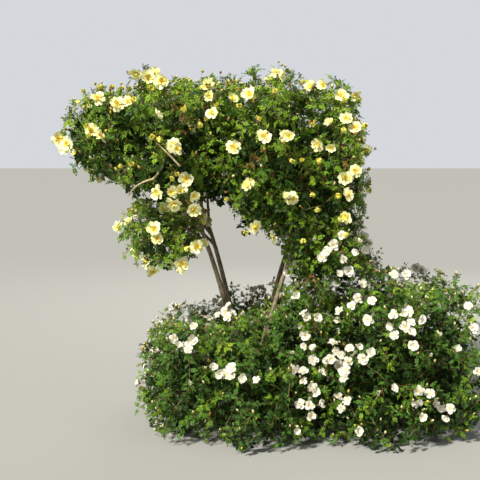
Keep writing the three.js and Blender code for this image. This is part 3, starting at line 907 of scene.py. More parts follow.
# %% [markdown]
# The sprays are served first, so that each gets a shoot of its own with a stalk to every flower. Then
# the shoots grow, the targets nearest to the twigs before the farther ones, and the sprigs last.

# %% Grow the shoots
PEDICEL = 0.045  # a flower stalk
PEDICEL_ARCH = 0.4
FLOWER_SEAT = 0.006  # a stalk ends this far behind its flower
SPRAY_SHOOT = 1.0  # as long as a shoot to a spray may be
TOWARD_FRONT = np.array([0, -0.5, 0.1])


def grow_sprays(mass, network, rng):
    for spray in sprays:
        if spray.mass is not mass:
            continue
        base = spray.point + unit(mass.stem[2] - spray.point) * PEDICEL
        if not network.join(base, rng, longest=SPRAY_SHOOT):
            continue
        for flower in spray.flowers:
            elbow = (base + flower.place) / 2 - flower.way * PEDICEL_ARCH * PEDICEL
            pedicels.append(np.array([base, elbow, flower.place - flower.way * FLOWER_SEAT]))
            flowers.append(flower)


pedicels, flowers = [], []
for number, mass in enumerate(masses):
    rng = np.random.default_rng(500 + number)
    network = Network(mass)
    for cane in bare_canes:
        if cane.mass is mass:
            network.add_sites(cane.inner, SITES_FROM.inner_cane)
            network.add_sites(cane.shown, SITES_FROM.shown_cane)
    grow_sprays(mass, network, rng)
    targets = shoot_targets(number, mass, rng)
    gaps = length_of(targets[:, None] - network.points[None]).min(-1)
    for target in targets[np.argsort(gaps)]:
        network.join(target, rng)
    for target in sprig_targets(mass, rng):
        network.join(target, rng, SPRIG_LENGTHS.most, SPRIG_LENGTHS.least)
    mass.shoots = np.array(network.shoots)
    for curve, blooms in mass.twigs:
        if blooms:
            facing = outlook(mass, curve[2]) + (TOWARD_FRONT if mass.row == "front" else 0)
            flowers.append(flower_at(curve[2], facing, bank_colour(mass), rng))
print("shoots:", sum(len(mass.shoots) for mass in masses), "open flowers:", len(flowers))

# %% [markdown]
# ## Making meshes from arrays
#
# A mesh is a list of corners and a list of triangles. Blender fills one fastest when each list is a flat
# array, so every piece below is built as arrays and handed over once. Each piece rides on the one rigid
# body, and hides the solids that it stands in for.


# %% Hand arrays to Blender
def merged(shapes):
    """Joins shapes, each (corners, triangles) or (corners, triangles, uvs), into one pair of arrays."""
    shift, faces = 0, []
    for corners, triangles, *_ in shapes:
        faces.append(triangles + shift)
        shift += len(corners)
    return np.concatenate([shape[0] for shape in shapes]), np.concatenate(faces)


def piece(name, shapes, material, nodes, smooth=False):
    """Makes one piece of the plant from shapes, with their UVs where they have them."""
    corners, faces = merged(shapes)
    mesh = bpy.data.meshes.new(name)
    mesh.vertices.add(len(corners))
    mesh.vertices.foreach_set("co", corners.astype(np.float32).ravel())
    mesh.loops.add(faces.size)
    mesh.loops.foreach_set("vertex_index", faces.astype(np.int32).ravel())
    mesh.polygons.add(len(faces))
    mesh.polygons.foreach_set("loop_start", np.arange(0, faces.size, 3, dtype=np.int32))
    mesh.polygons.foreach_set("use_smooth", np.full(len(faces), smooth))
    if len(shapes[0]) > 2:
        uvs = np.concatenate([shape[2] for shape in shapes]).astype(np.float32)
        mesh.uv_layers.new(name="along").uv.foreach_set("vector", uvs.ravel())
    mesh.update(calc_edges=True)
    mesh.materials.append(material)
    obj = bpy.data.objects.new(name, mesh)
    bpy.context.scene.collection.objects.link(obj)
    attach(obj, "root")
    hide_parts(*nodes)
    print(f"{name}: {len(faces)} triangles")


# %% [markdown]
# `scatter` puts many turned and scaled copies of a small shape into one array, which real geometry needs
# and instances wouldn't give.


# %% Copy a shape to many places
def scatter(template, origins, along, face, scales=1.0):
    """Copies of a template, whose X lies along one way and whose Z is the other, at many places."""
    corners, triangles = template
    across = np.cross(face, along)
    axes = np.stack([along, across, face], 1) * np.broadcast_to(scales, len(origins))[:, None, None]
    placed = origins[:, None] + corners @ axes
    shifts = np.arange(len(origins))[:, None, None] * len(corners)
    return placed.reshape(-1, 3), (triangles + shifts).reshape(-1, 3)


def square_to(ways, along):
    """ways, turned as little as may be to stand square to along."""
    return unit(ways - along * (ways * along).sum(-1)[..., None])


print("a slanted way, turned square to the vertical:", square_to(np.array([3.0, 0.0, 4.0]), UP))

# %% [markdown]
# ## Tubes
#
# Canes, twigs and stalks are all tubes: rings of corners round a middle line, with a fan over each end.
# UVs run once round the tube and then along it in metres, so that bark keeps its scale on every cane.


# %% Join rings of corners with triangles
def cells_of(rows, columns):
    """The row and the column of every cell of a grid, as two flat arrays."""
    return (lines.ravel() for lines in np.meshgrid(np.arange(rows), np.arange(columns), indexing="ij"))


def wall_triangles(rings, sides):
    """Two triangles for each side between every ring of a tube and the next."""
    ring, side = cells_of(rings - 1, sides)
    after = (side + 1) % sides
    low, high = ring * sides, (ring + 1) * sides
    walls = np.stack([low + side, low + after, high + after, low + side, high + after, high + side], -1)
    return walls.reshape(-1, 3)


def end_triangles(first, sides, tip):
    """A fan over the ring whose corners start at first."""
    each = np.arange(sides)
    return np.stack([first + each, first + (each + 1) % sides, np.full(sides, tip)], -1)


def tube(rings, length=1.0):
    """A closed tube through rings of corners, an array of (ring, side, XYZ)."""
    count, sides, _ = rings.shape
    ring, side = cells_of(count - 1, sides)
    around = np.stack([side, side + 1, side + 1, side, side + 1, side], -1) / sides
    up = np.stack([ring, ring, ring + 1, ring, ring + 1, ring + 1], -1) * length / (count - 1)
    each = np.arange(sides)
    ends = np.stack([each, each + 1, each + 0.5], -1) / sides
    under = end_triangles(0, sides, count * sides)[:, [1, 0, 2]]
    over = end_triangles((count - 1) * sides, sides, count * sides + 1)
    triangles = np.concatenate([wall_triangles(count, sides), under, over])
    uvs = np.concatenate([
        np.stack([around, up], -1).reshape(-1, 2),
        np.stack([ends, np.zeros_like(ends)], -1).reshape(-1, 2),
        np.stack([ends, np.full_like(ends, length)], -1).reshape(-1, 2),
    ])
    corners = np.concatenate([rings.reshape(-1, 3), rings[:1].mean(1), rings[-1:].mean(1)])
    return corners, triangles, uvs


print("triangles in a tube of 3 rings and 8 sides:", len(tube(np.zeros((3, 8, 3)))[1]))

# %% [markdown]
# Twigs, shoots and stalks come by the thousand, so they are all laid along their curves at once. Their
# feet start inside the wood that they grow on and stay open. Only the tip is closed, with one more
# corner.


# %% Make many slim tubes at once
STRAIGHT = 1e-4  # what turns the first side of a tube whose curve has no bend of its own


def circle_round(across, other, sides):
    """Unit vectors round a middle line, from two ways that stand square to it."""
    turns = np.arange(sides) * 2 * math.pi / sides
    return across[..., None, :] * np.cos(turns)[:, None] + other[..., None, :] * np.sin(turns)[:, None]


def many_tubes(curves, foot, tip, rings, sides):
    """Slim tapering tubes along many curves at once, each closed at its tip."""
    foot, tip = (np.broadcast_to(radius, len(curves)) for radius in (foot, tip))
    shares = np.linspace(0, 1, rings)[None]
    a, b, c = (curves[:, None, i] for i in range(3))
    tangents = heading((a, b, c), shares)
    across = unit(np.cross(tangents, unit(np.cross(b - a, c - b) + UP * STRAIGHT)))
    radii = foot[:, None] + (tip - foot)[:, None] * shares
    circles = circle_round(across, np.cross(tangents, across), sides) * radii[:, :, None, None]
    corners = bezier((a, b, c), shares)[:, :, None] + circles
    tips = c + tangents[:, -1:] * tip[:, None, None]
    corners = np.concatenate([corners.reshape(len(curves), -1, 3), tips], 1)
    over = end_triangles((rings - 1) * sides, sides, rings * sides)
    triangles = np.concatenate([wall_triangles(rings, sides), over])
    shifts = np.arange(len(curves))[:, None, None] * (rings * sides + 1)
    return corners.reshape(-1, 3), (triangles + shifts).reshape(-1, 3)


slim_tube = many_tubes(quarter_arch[None], 0.002, 0.001, rings=3, sides=3)
print("triangles in a shoot:", len(slim_tube[1]))

# %% [markdown]
# ## Bark relief
#
# Old rose canes are grey-brown, with long shallow ridges, a swelling at each old leaf scar, and straight
# fine prickles. Bump alone would leave the mesh smooth, so ridges and scars are real relief: the radius of
# a fine tube is changed by smooth waves whose phase wanders.

# %% Shape the canes
RING_STEP = 0.007
CANE_SIDES = {"main": 16, "other": 11}
RIDGES = 0.035
SCARS = SimpleNamespace(step=0.065, first=0.3, width=0.08, swelling=0.08)  # the width in steps
SMOOTH_RADIUS = 0.97  # what is left of the radius between the ridges
TIP_ROUNDING = 0.05
STRAIGHT_CANE = 1e-5  # what turns the first side of a cane that has no bend
WAVE_TURNS = (1, 7)
WAVE_RATES = (3, 40)


def waves(height, turns, rng, count=6):
    """Smooth waves over a tube's surface, from about -1 to 1."""
    total = 0
    for _ in range(count):
        around, along = rng.integers(*WAVE_TURNS), rng.uniform(*WAVE_RATES)
        total = total + np.sin(around * turns + along * height + rng.uniform(0, 2 * math.pi))
    return total / math.sqrt(2 * count)


def rings_round(curve, shares, radii):
    """Rings of corners round a curve, for an array of radii by ring and side."""
    tangents = heading(curve, shares)
    bend = np.cross(curve[1] - curve[0], curve[2] - curve[1])
    across = np.broadcast_to(unit(bend + UP * STRAIGHT_CANE), tangents.shape)
    other = unit(np.cross(tangents, across))
    return bezier(curve, shares)[:, None] + circle_round(across, other, radii.shape[1]) * radii[..., None]


def turns_of(sides):
    return (np.arange(sides) * 2 * math.pi / sides)[None]


def cane_shape(limb, rng):
    length = curve_length(limb.curve)
    sides = CANE_SIDES["main" if limb.size is MAIN_CANE else "other"]
    shares = np.linspace(0, 1, int(length / RING_STEP) + 2)
    height = (shares * length)[:, None]
    from_scar = (height / SCARS.step + SCARS.first) % 1 - 0.5
    swelling = SCARS.swelling * np.exp(-(from_scar / SCARS.width) ** 2)
    relief = RIDGES * waves(height, turns_of(sides), rng) + swelling
    taper = limb.size.foot + (limb.size.tip - limb.size.foot) * shares[:, None]
    round_tip = np.sqrt(np.clip((length - height) / limb.size.tip, TIP_ROUNDING, 1))
    return tube(rings_round(limb.curve, shares, taper * (SMOOTH_RADIUS + relief) * round_tip), length)


rng = np.random.default_rng(21)
cane_shapes = {limb.name: cane_shape(limb, rng) for limb in limbs}
print("limbs shaped:", len(cane_shapes))

# %% [markdown]
# The stool is one short wide tube. Its profile is smoothed by a running mean, lobes stand out at its
# foot where old shoots left it, and furrows run up it.

# %% Shape the stool
STOOL_GRID = SimpleNamespace(levels=44, sides=90)
PROFILE_SMOOTHING = 7  # levels that the running mean takes in
FURROWS = SimpleNamespace(wild=0.03, stretch=0.2, even=0.02, count=17, slant=5)


def stool_shape(rng):
    share = np.linspace(0, 1, STOOL_GRID.levels)
    outs = np.interp(share, [up for _, up in BASE_PROFILE], [out for out, _ in BASE_PROFILE])
    outs = np.pad(outs, PROFILE_SMOOTHING // 2, mode="edge")
    outs = np.convolve(outs, np.ones(PROFILE_SMOOTHING) / PROFILE_SMOOTHING, mode="valid")[:, None]
    turns, height = turns_of(STOOL_GRID.sides), share[:, None]
    lobes = 1 + BASE.flare * (1 - height) * np.cos(BASE.lobes * turns)
    even = FURROWS.even * np.sin(FURROWS.count * turns + FURROWS.slant * height)
    furrows = FURROWS.wild * waves(height * FURROWS.stretch, turns, rng) + even
    radius = BASE.radius * outs * lobes * (SMOOTH_RADIUS + furrows)
    z = np.broadcast_to(height * BASE.height, radius.shape)
    return tube(np.stack([radius * np.cos(turns), radius * np.sin(turns), z], -1), BASE.height)


stool = stool_shape(rng)
print("stool:", len(stool[1]), "triangles")

# %% [markdown]
# ## Shader groups
#
# Two effects come back in several materials, so each is a node group. A group puts out only colours,
# masks and values, and the shader that they feed stays in the material.


# %% Write helpers for shader nodes
def colour(red, green, blue):
    """A linear colour from the 0 to 255 values that a screen shows."""
    def linear(value):
        share = value / 255
        return share / 12.92 if share <= 0.04045 else ((share + 0.055) / 1.055) ** 2.4

    return (linear(red), linear(green), linear(blue), 1)


def new_group(name, inputs, outputs):
    group = bpy.data.node_groups.new(name, "ShaderNodeTree")
    for in_out, sockets in (("INPUT", inputs), ("OUTPUT", outputs)):
        for label, kind, default in sockets:
            socket = group.interface.new_socket(label, in_out=in_out, socket_type=f"NodeSocket{kind}")
            if default is not None:
                socket.default_value = default
    return group, group.nodes.new("NodeGroupInput"), group.nodes.new("NodeGroupOutput")


def feed(tree, value, socket):
    """Links a socket to value, or sets it where value is a plain number or colour."""
    if isinstance(value, bpy.types.NodeSocket):
        tree.links.new(value, socket)
    else:
        socket.default_value = value


def math_node(tree, operation, first, second):
    node = tree.nodes.new("ShaderNodeMath")
    node.operation = operation
    feed(tree, first, node.inputs[0])
    feed(tree, second, node.inputs[1])
    return node.outputs[0]


def mix_colours(tree, factor, first, second):
    node = tree.nodes.new("ShaderNodeMix")
    node.data_type = "RGBA"
    for value, number in ((factor, 0), (first, 6), (second, 7)):
        feed(tree, value, node.inputs[number])
    return node.outputs[2]


def map_range(tree, value, low, high, to_low=0.0, to_high=1.0):
    node = tree.nodes.new("ShaderNodeMapRange")
    tree.links.new(value, node.inputs["Value"])
    for label, number in (("From Min", low), ("From Max", high), ("To Min", to_low), ("To Max", to_high)):
        node.inputs[label].default_value = number
    return node.outputs["Result"]


print("middle grey as a linear colour:", round(colour(128, 128, 128)[0], 3))

# %% [markdown]
# `cane bark` reads the tube's own UVs, bent into a circle so that no seam shows, and puts out colour,
# roughness and height. Noise makes the grain, and the cells of a Voronoi texture the pale pores in it.

# %% Build the bark group
GRAIN_RANGE = (0.35, 0.65)
GRAIN_ROUGHNESS = (0.92, 0.7)
PORE_STRETCH = (3.0, 3.0, 9.0)
PORE_EDGE = (0.16, 0.22)
PORE_HEIGHT = 0.5


def build_bark_group():
    group, start, end = new_group(
        "cane bark",
        [("Ridge", "Color", colour(150, 132, 108)), ("Furrow", "Color", colour(70, 54, 40)),
         ("Spot", "Color", colour(190, 170, 140)), ("Spots", "Float", 0.5), ("Around", "Float", 12.0)],
        [("Colour", "Color", None), ("Roughness", "Float", None), ("Height", "Float", None)],
    )
    links = group.links
    uv = group.nodes.new("ShaderNodeUVMap")
    uv.uv_map = "along"
    parts = group.nodes.new("ShaderNodeSeparateXYZ")
    links.new(uv.outputs["UV"], parts.inputs[0])
    turn = math_node(group, "MULTIPLY", parts.outputs["X"], 2 * math.pi)
    circle = group.nodes.new("ShaderNodeCombineXYZ")
    links.new(math_node(group, "COSINE", turn, 0.0), circle.inputs["X"])
    links.new(math_node(group, "SINE", turn, 0.0), circle.inputs["Y"])
    links.new(math_node(group, "MULTIPLY", parts.outputs["Y"], start.outputs["Around"]), circle.inputs["Z"])
    ridges = group.nodes.new("ShaderNodeTexNoise")
    ridges.inputs["Scale"].default_value = 2.6
    ridges.inputs["Detail"].default_value = 6
    links.new(circle.outputs[0], ridges.inputs["Vector"])
    grain = map_range(group, ridges.outputs["Fac"], *GRAIN_RANGE)
    stretched = group.nodes.new("ShaderNodeVectorMath")
    stretched.operation = "MULTIPLY"
    stretched.inputs[1].default_value = PORE_STRETCH
    links.new(circle.outputs[0], stretched.inputs[0])
    cells = group.nodes.new("ShaderNodeTexVoronoi")
    cells.inputs["Scale"].default_value = 1.0
    links.new(stretched.outputs[0], cells.inputs["Vector"])
    spots = map_range(group, cells.outputs["Distance"], *PORE_EDGE, 1.0, 0.0)
    spots = math_node(group, "MULTIPLY", spots, start.outputs["Spots"])
    ground = mix_colours(group, grain, start.outputs["Furrow"], start.outputs["Ridge"])
    links.new(mix_colours(group, spots, ground, start.outputs["Spot"]), end.inputs["Colour"])
    links.new(map_range(group, grain, 0, 1, *GRAIN_ROUGHNESS), end.inputs["Roughness"])
    pores = math_node(group, "MULTIPLY", spots, PORE_HEIGHT)
    links.new(math_node(group, "ADD", grain, pores), end.inputs["Height"])
    return group


BARK_GROUP = build_bark_group()
print("shader group:", BARK_GROUP.name, "with", len(BARK_GROUP.nodes), "nodes")

# %% [markdown]
# `leaf mottle` varies a plain colour a little from leaf to leaf, as age and dust do, and the gloss with
# it. Petals, stalks and prickles use it too, each at its own scale.

# %% Build the mottle group
PATCH_EDGE = (0.38, 0.62)
PATCH_ROUGHNESS = 0.14


def build_mottle_group():
    group, start, end = new_group(
        "leaf mottle",
        [("Colour", "Color", colour(90, 120, 50)), ("Patch", "Color", colour(120, 140, 60)),
         ("Amount", "Float", 0.5), ("Scale", "Float", 20.0), ("Gloss", "Float", 0.5)],
        [("Colour", "Color", None), ("Roughness", "Float", None)],
    )
    links = group.links
    place = group.nodes.new("ShaderNodeTexCoord")
    noise = group.nodes.new("ShaderNodeTexNoise")
    noise.inputs["Detail"].default_value = 3
    links.new(place.outputs["Object"], noise.inputs["Vector"])
    links.new(start.outputs["Scale"], noise.inputs["Scale"])
    patches = map_range(group, noise.outputs["Fac"], *PATCH_EDGE)
    share = math_node(group, "MULTIPLY", patches, start.outputs["Amount"])
    mottled = mix_colours(group, share, start.outputs["Colour"], start.outputs["Patch"])
    links.new(mottled, end.inputs["Colour"])
    duller = math_node(group, "MULTIPLY", patches, PATCH_ROUGHNESS)
    links.new(math_node(group, "ADD", start.outputs["Gloss"], duller), end.inputs["Roughness"])
    return group


MOTTLE_GROUP = build_mottle_group()
print("shader group:", MOTTLE_GROUP.name, "with", len(MOTTLE_GROUP.nodes), "nodes")

# %% [markdown]
# ## Materials
#
# Three kinds of material are enough. Bark has bump as well as its relief. A leaf is paler and duller
# underneath, so its material mixes two colours by which face is seen. Everything soft or green and round
# shares the third.


# %% Write the kinds of material
def new_material(name):
    material = bpy.data.materials.new(name)
    material.use_nodes = True
    return material, material.node_tree, material.node_tree.nodes["Principled BSDF"]


def grouped(tree, group, values):
    node = tree.nodes.new("ShaderNodeGroup")
    node.node_tree = group
    for label, value in values.items():
        node.inputs[label].default_value = value
    return node


def bark_material(name, ridge, furrow, spot, spots, bump):
    material, tree, shader = new_material(name)
    bark = grouped(tree, BARK_GROUP, {"Ridge": ridge, "Furrow": furrow, "Spot": spot, "Spots": spots})
    tree.links.new(bark.outputs["Colour"], shader.inputs["Base Color"])
    tree.links.new(bark.outputs["Roughness"], shader.inputs["Roughness"])
    relief = tree.nodes.new("ShaderNodeBump")
    relief.inputs["Distance"].default_value = bump
    tree.links.new(bark.outputs["Height"], relief.inputs["Height"])
    tree.links.new(relief.outputs["Normal"], shader.inputs["Normal"])
    return material


def leaf_material(name, upper, patch, under):
    material, tree, shader = new_material(name)
    mottle = grouped(tree, MOTTLE_GROUP, {"Colour": upper, "Patch": patch, "Amount": 0.5, "Gloss": 0.45})
    facing = tree.nodes.new("ShaderNodeNewGeometry")
    seen = mix_colours(tree, facing.outputs["Backfacing"], mottle.outputs["Colour"], under)
    tree.links.new(seen, shader.inputs["Base Color"])
    tree.links.new(mottle.outputs["Roughness"], shader.inputs["Roughness"])
    shader.inputs["Specular IOR Level"].default_value = 0.25
    return material


def soft_material(name, main, patch, roughness, scale, amount=0.5, sheen=0.0):
    material, tree, shader = new_material(name)
    values = {"Colour": main, "Patch": patch, "Amount": amount, "Scale": scale, "Gloss": roughness}
    mottle = grouped(tree, MOTTLE_GROUP, values)
    tree.links.new(mottle.outputs["Colour"], shader.inputs["Base Color"])
    tree.links.new(mottle.outputs["Roughness"], shader.inputs["Roughness"])
    shader.inputs["Sheen Weight"].default_value = sheen
    return material


print("groups to draw on:", [group.name for group in bpy.data.node_groups])

# %% [markdown]
# Old wood is grey-brown and rough, and younger canes are smoother and warmer. Strong twigs are brown,
# and the shoots of the year green with a red flush.

# %% Make the materials of the wood
old_bark = bark_material(
    "old_bark", colour(186, 170, 142), colour(96, 78, 58), colour(212, 200, 174), spots=0.5, bump=0.0012
)
cane_bark = bark_material(
    "cane_bark", colour(176, 158, 112), colour(112, 92, 62), colour(206, 194, 156), spots=0.6, bump=0.0006
)
pale_cane = soft_material("pale_cane", colour(216, 198, 160), colour(168, 146, 108), 0.7, 60.0, 0.8)
twig_skin = soft_material("twig_skin", colour(128, 100, 66), colour(112, 118, 64), 0.6, 30.0)
shoot_skin = soft_material("shoot_skin", colour(128, 138, 66), colour(156, 100, 68), 0.55, 30.0, 0.8)
prickle_horn = soft_material("prickle_horn", colour(150, 120, 84), colour(120, 84, 60), 0.5, 90.0)
print("materials of the wood:", len(bpy.data.materials))

# %% [markdown]
# Every leaf tint is three colours: the upper face, its patches and the paler underside. The tints are
# plain, and are dealt out by shoot further down. The first four are painted light and shade: one green,
# made lighter for shoots in the light and darker for shoots in shade.

# %% Make the leaf materials
LEAF_TINTS = {
    # The first four tints are painted light and shade: lighter where the light reaches a shoot, darkest
    # deep inside the plant. Dusky and bronze are leaf colours.
    "fresh": (colour(134, 166, 44), colour(154, 180, 58), colour(128, 154, 66)),
    "spring": (colour(116, 152, 34), colour(132, 164, 46), colour(116, 142, 56)),
    "summer": (colour(92, 126, 24), colour(108, 140, 34), colour(100, 124, 46)),
    "deep": (colour(36, 62, 12), colour(46, 74, 16), colour(54, 76, 24)),
    "dusky": (colour(76, 118, 38), colour(92, 132, 46), colour(92, 120, 54)),
    "bronze": (colour(122, 82, 42), colour(108, 108, 42), colour(118, 102, 60)),
}
TINT_NAMES = list(LEAF_TINTS)
leaf_materials = {name: leaf_material(f"leaf_{name}", *tints) for name, tints in LEAF_TINTS.items()}
print("leaf tints:", TINT_NAMES)

# %% [markdown]
# Petals are soft and nearly matt, with a little sheen. The yellow flowers are cream outside and yellow
# inside. Buds show cream or gold, and what is left of a faded flower is brown.

# %% Make the flower materials
petal_cream = soft_material(
    "petal_cream", colour(254, 252, 180), colour(254, 253, 222), 0.62, 40.0, amount=0.8, sheen=0.2
)
petal_yellow = soft_material(
    "petal_yellow", colour(250, 242, 98), colour(252, 248, 148), 0.62, 40.0, amount=0.7, sheen=0.2
)
petal_white = soft_material(
    "petal_white", colour(236, 235, 224), colour(238, 234, 204), 0.62, 40.0, amount=0.6, sheen=0.2
)
anther_gold = soft_material("anther_gold", colour(236, 184, 34), colour(222, 150, 24), 0.7, 200.0)
anther_pale = soft_material("anther_pale", colour(244, 206, 56), colour(230, 178, 44), 0.7, 200.0)
sepal_green = soft_material("sepal_green", colour(112, 138, 56), colour(150, 104, 56), 0.6, 80.0, 0.8)
bud_materials = {
    "cream": soft_material("bud_cream", colour(254, 250, 200), colour(246, 222, 140), 0.6, 50.0, 0.8),
    "gold": soft_material("bud_gold", colour(250, 228, 96), colour(238, 184, 66), 0.6, 50.0, 0.8),
    "faded": soft_material("bud_faded", colour(214, 150, 84), colour(160, 92, 50), 0.7, 50.0, 0.8),
}
print("materials:", len(bpy.data.materials))

# %% [markdown]
# ## The wood
#
# The stool and the tall canes are old wood. Boughs and low canes are a few years old. Each kind of limb
# is one piece, which stands in for all the solids of that kind.


# %% Make the stool, the canes and the boughs
def nodes_named(start):
    return [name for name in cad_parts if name.startswith(start)]


cad_masses = nodes_named("foliage_")
piece("stool", [stool], old_bark, ["cane_base"], smooth=True)
for start, name, material in (
    ("main_cane_", "tall_canes", old_bark),
    ("bough_", "boughs", cane_bark),
    ("low_cane_", "low_canes", cane_bark),
):
    shapes = [shape for limb_name, shape in cane_shapes.items() if limb_name.startswith(start)]
    piece(name, shapes, material, nodes_named(start), smooth=True)

# %% [markdown]
# Inside the masses grow the stems and strong twigs, the two bare canes, and the green shoots with the
# stalks of the flowers. A shoot is as thick at its foot as its length needs.

# %% Make the twigs, the bare canes and the shoots
TWIG_END = 0.0026
# Radii of the inner half and of the half that shows.
BARE_CANE = SimpleNamespace(feet=(0.006, 0.0055), tips=(0.0055, 0.0035))
SHOOT_GIRTH = SimpleNamespace(least=0.0012, by_length=0.0065, tip=0.0009)
PEDICEL_GIRTH = (0.0014, 0.0012)

stem_curves = np.array([mass.stem for mass in masses])
twig_curves = np.array([curve for mass in masses for curve, _ in mass.twigs])
twig_shapes = [
    many_tubes(stem_curves, STEM.foot, STEM.tip, rings=9, sides=8),
    many_tubes(twig_curves, TWIG.foot, TWIG_END, rings=9, sides=6),
]
piece("twigs", twig_shapes, twig_skin, cad_masses, smooth=True)

bare_curves = np.array([curve for cane in bare_canes for curve in (cane.inner, cane.shown)])
bare_feet = np.array(BARE_CANE.feet * len(bare_canes))
bare_tips = np.array(BARE_CANE.tips * len(bare_canes))
bare_shapes = [many_tubes(bare_curves, bare_feet, bare_tips, rings=14, sides=9)]
piece("bare_canes", bare_shapes, pale_cane, cad_masses, smooth=True)

shoot_curves = np.concatenate([mass.shoots for mass in masses])
shoot_feet = SHOOT_GIRTH.least + SHOOT_GIRTH.by_length * length_of(shoot_curves[:, 2] - shoot_curves[:, 0])
shoot_shapes = [
    many_tubes(shoot_curves, shoot_feet, SHOOT_GIRTH.tip, rings=3, sides=3),
    many_tubes(np.array(pedicels), *PEDICEL_GIRTH, rings=5, sides=4),
]
piece("shoots", shoot_shapes, shoot_skin, cad_masses, smooth=True)

# %% [markdown]
# ## Prickles
#
# Roses of this kind have many straight slim prickles. Each is a four-sided spike that points out and a
# little back towards the root.

# %% Make the prickles
PRICKLE = SimpleNamespace(length=0.0075, width=0.0026, spacing=0.013, sunk=0.001)
PRICKLED = (0.12, 0.97)  # from near the foot to near the tip of a limb
PRICKLE_SEAT = 0.93
PRICKLE_LEAN = 0.25
PRICKLE_SIZES = (0.6, 1.2)


def prickle_template():
    half, foot = PRICKLE.width / 2, -PRICKLE.sunk
    corners = np.array([
        [foot, -half, -half], [foot, half, -half], [foot, half, half], [foot, -half, half],
        [PRICKLE.length, 0, 0],
    ])
    return corners, np.array([[0, 1, 4], [1, 2, 4], [2, 3, 4], [3, 0, 4], [0, 3, 2], [0, 2, 1]])


def prickles_on(limb, rng):
    count = int(curve_length(limb.curve) / PRICKLE.spacing)
    shares = rng.uniform(*PRICKLED, count)
    tangents = heading(limb.curve, shares)
    outward = square_to(rng.normal(size=(count, 3)), tangents)
    radii = limb.size.foot + (limb.size.tip - limb.size.foot) * shares
    feet = bezier(limb.curve, shares) + outward * PRICKLE_SEAT * radii[:, None]
    return feet, unit(outward - PRICKLE_LEAN * tangents), tangents


spikes = [prickles_on(limb, rng) for limb in limbs]
origins, along, tangents = (np.concatenate(group) for group in zip(*spikes))
spike_sizes = rng.uniform(*PRICKLE_SIZES, len(origins))
spike_shape = scatter(prickle_template(), origins, along, square_to(tangents, along), spike_sizes)
piece("prickles", [spike_shape], prickle_horn, nodes_named("main_cane_") + nodes_named("bough_"))

# %% [markdown]
# ## Leaves
#
# A rose leaf is pinnate: three or four pairs of small leaflets along a midrib, and one more at its end.
# Each leaflet is a small blade in its own outline, folded along its middle, drooping and tilted its own
# way. A handful of leaf shapes, turned and scaled, is enough for the whole plant, because no two catch
# the light alike. The last shape is a coarser one for the deep inside, where only its shade is seen.

# %% Draw the leaf shapes
LEAFLET_OUTLINE = np.array([[0, 0], [0.5, 0.5], [1, 0], [0.5, -0.5]])  # shares of the length and the width
LEAFLET_FACES = np.array([[0, 2, 1], [0, 3, 2]])
LEAFLET_DROOP = 0.12
LEAFLETS = SimpleNamespace(first=0.2, last=0.96, end_gap=0.02, rolls=(-0.6, 0.6), pitches=(-0.3, 0.4))
PAIR_SIZES = SimpleNamespace(least=0.86, more=0.22)
END_LEAFLET = SimpleNamespace(length=1.15, width=1.05)
MIDRIB_WIDTH = 0.022


def leaflet(root, turn, length, width, fold, roll=0.0, pitch=0.0):
    """A leaflet from its root, turned away from the midrib by an angle, rolled and pitched."""
    x, y = LEAFLET_OUTLINE[:, 0] * length, LEAFLET_OUTLINE[:, 1] * width
    z = fold * np.abs(y) + roll * y + pitch * x - LEAFLET_DROOP * x ** 2 / length
    corners = np.stack([
        root + x * math.cos(turn) - y * math.sin(turn),
        x * math.sin(turn) + y * math.cos(turn),
        z,
    ], -1)
    return corners, LEAFLET_FACES


def leaf_template(pairs, length, width, fold, droop, rng, spread=0.95):
    """A leaf of unit length along X, facing +Z. Its middle pairs are the largest."""
    first, last = LEAFLETS.first, LEAFLETS.last - length
    blades = [leaflet(last, 0, length * END_LEAFLET.length, width * END_LEAFLET.width, fold)]
    for n in range(pairs):
        root = first + (last - LEAFLETS.end_gap - first) * (n + 0.2) / pairs
        size = PAIR_SIZES.least + PAIR_SIZES.more * math.sin(math.pi * (n + 0.7) / (pairs + 0.4))
        for side in (-1, 1):
            roll, pitch = rng.uniform(*LEAFLETS.rolls), rng.uniform(*LEAFLETS.pitches)
            blades.append(leaflet(root, side * spread, length * size, width * size, fold, roll, pitch))
    midrib = np.array([[0, -MIDRIB_WIDTH / 2, 0], [0, MIDRIB_WIDTH / 2, 0], [last, 0, 0]])
    blades.append((midrib, np.array([[0, 2, 1]])))
    corners, triangles = merged(blades)
    corners[:, 2] -= droop * corners[:, 0] ** 2
    return corners, triangles


rng = np.random.default_rng(29)
LEAF_SHAPES = [
    leaf_template(4, 0.26, 0.165, 0.3, 0.1, rng),
    leaf_template(4, 0.25, 0.165, 0.5, 0.3, rng, spread=1.05),
    leaf_template(3, 0.29, 0.19, 0.35, 0.15, rng),
    leaf_template(4, 0.24, 0.165, 0.4, 0.25, rng),
    leaf_template(3, 0.3, 0.2, 0.4, 0.1, rng, spread=0.85),
    leaf_template(2, 0.44, 0.38, 0.3, 0.2, rng),
]
INNER_SHAPE = len(LEAF_SHAPES) - 1
print("leaf shapes:", [len(triangles) for _, triangles in LEAF_SHAPES], "triangles")

# %% [markdown]
# ## Leaves on every shoot
#
# No leaf covers an open flower or a bare cane: each keeps a short clear tube in front of it, the way it
# faces.

# %% Keep the flowers in sight
BARE_WIDTH = 0.016
CLEAR_TUBE = SimpleNamespace(start=-0.005, end=0.12, width=0.9, touch=0.8)  # the last two in radii
flower_places = np.array([flower.place for flower in flowers])
flower_ways = np.array([flower.way for flower in flowers])
flower_radii = np.array([FLOWER_RADIUS[flower.tone] for flower in flowers])
bare_places = np.concatenate([bezier(cane.shown, np.linspace(0, 0.9, 16)) for cane in bare_canes])
shown_places = np.concatenate([flower_places, bare_places])
shown_ways = np.concatenate([flower_ways, unit(np.array(EYE) - bare_places)])
shown_radii = np.concatenate([flower_radii, np.full(len(bare_places), BARE_WIDTH)])


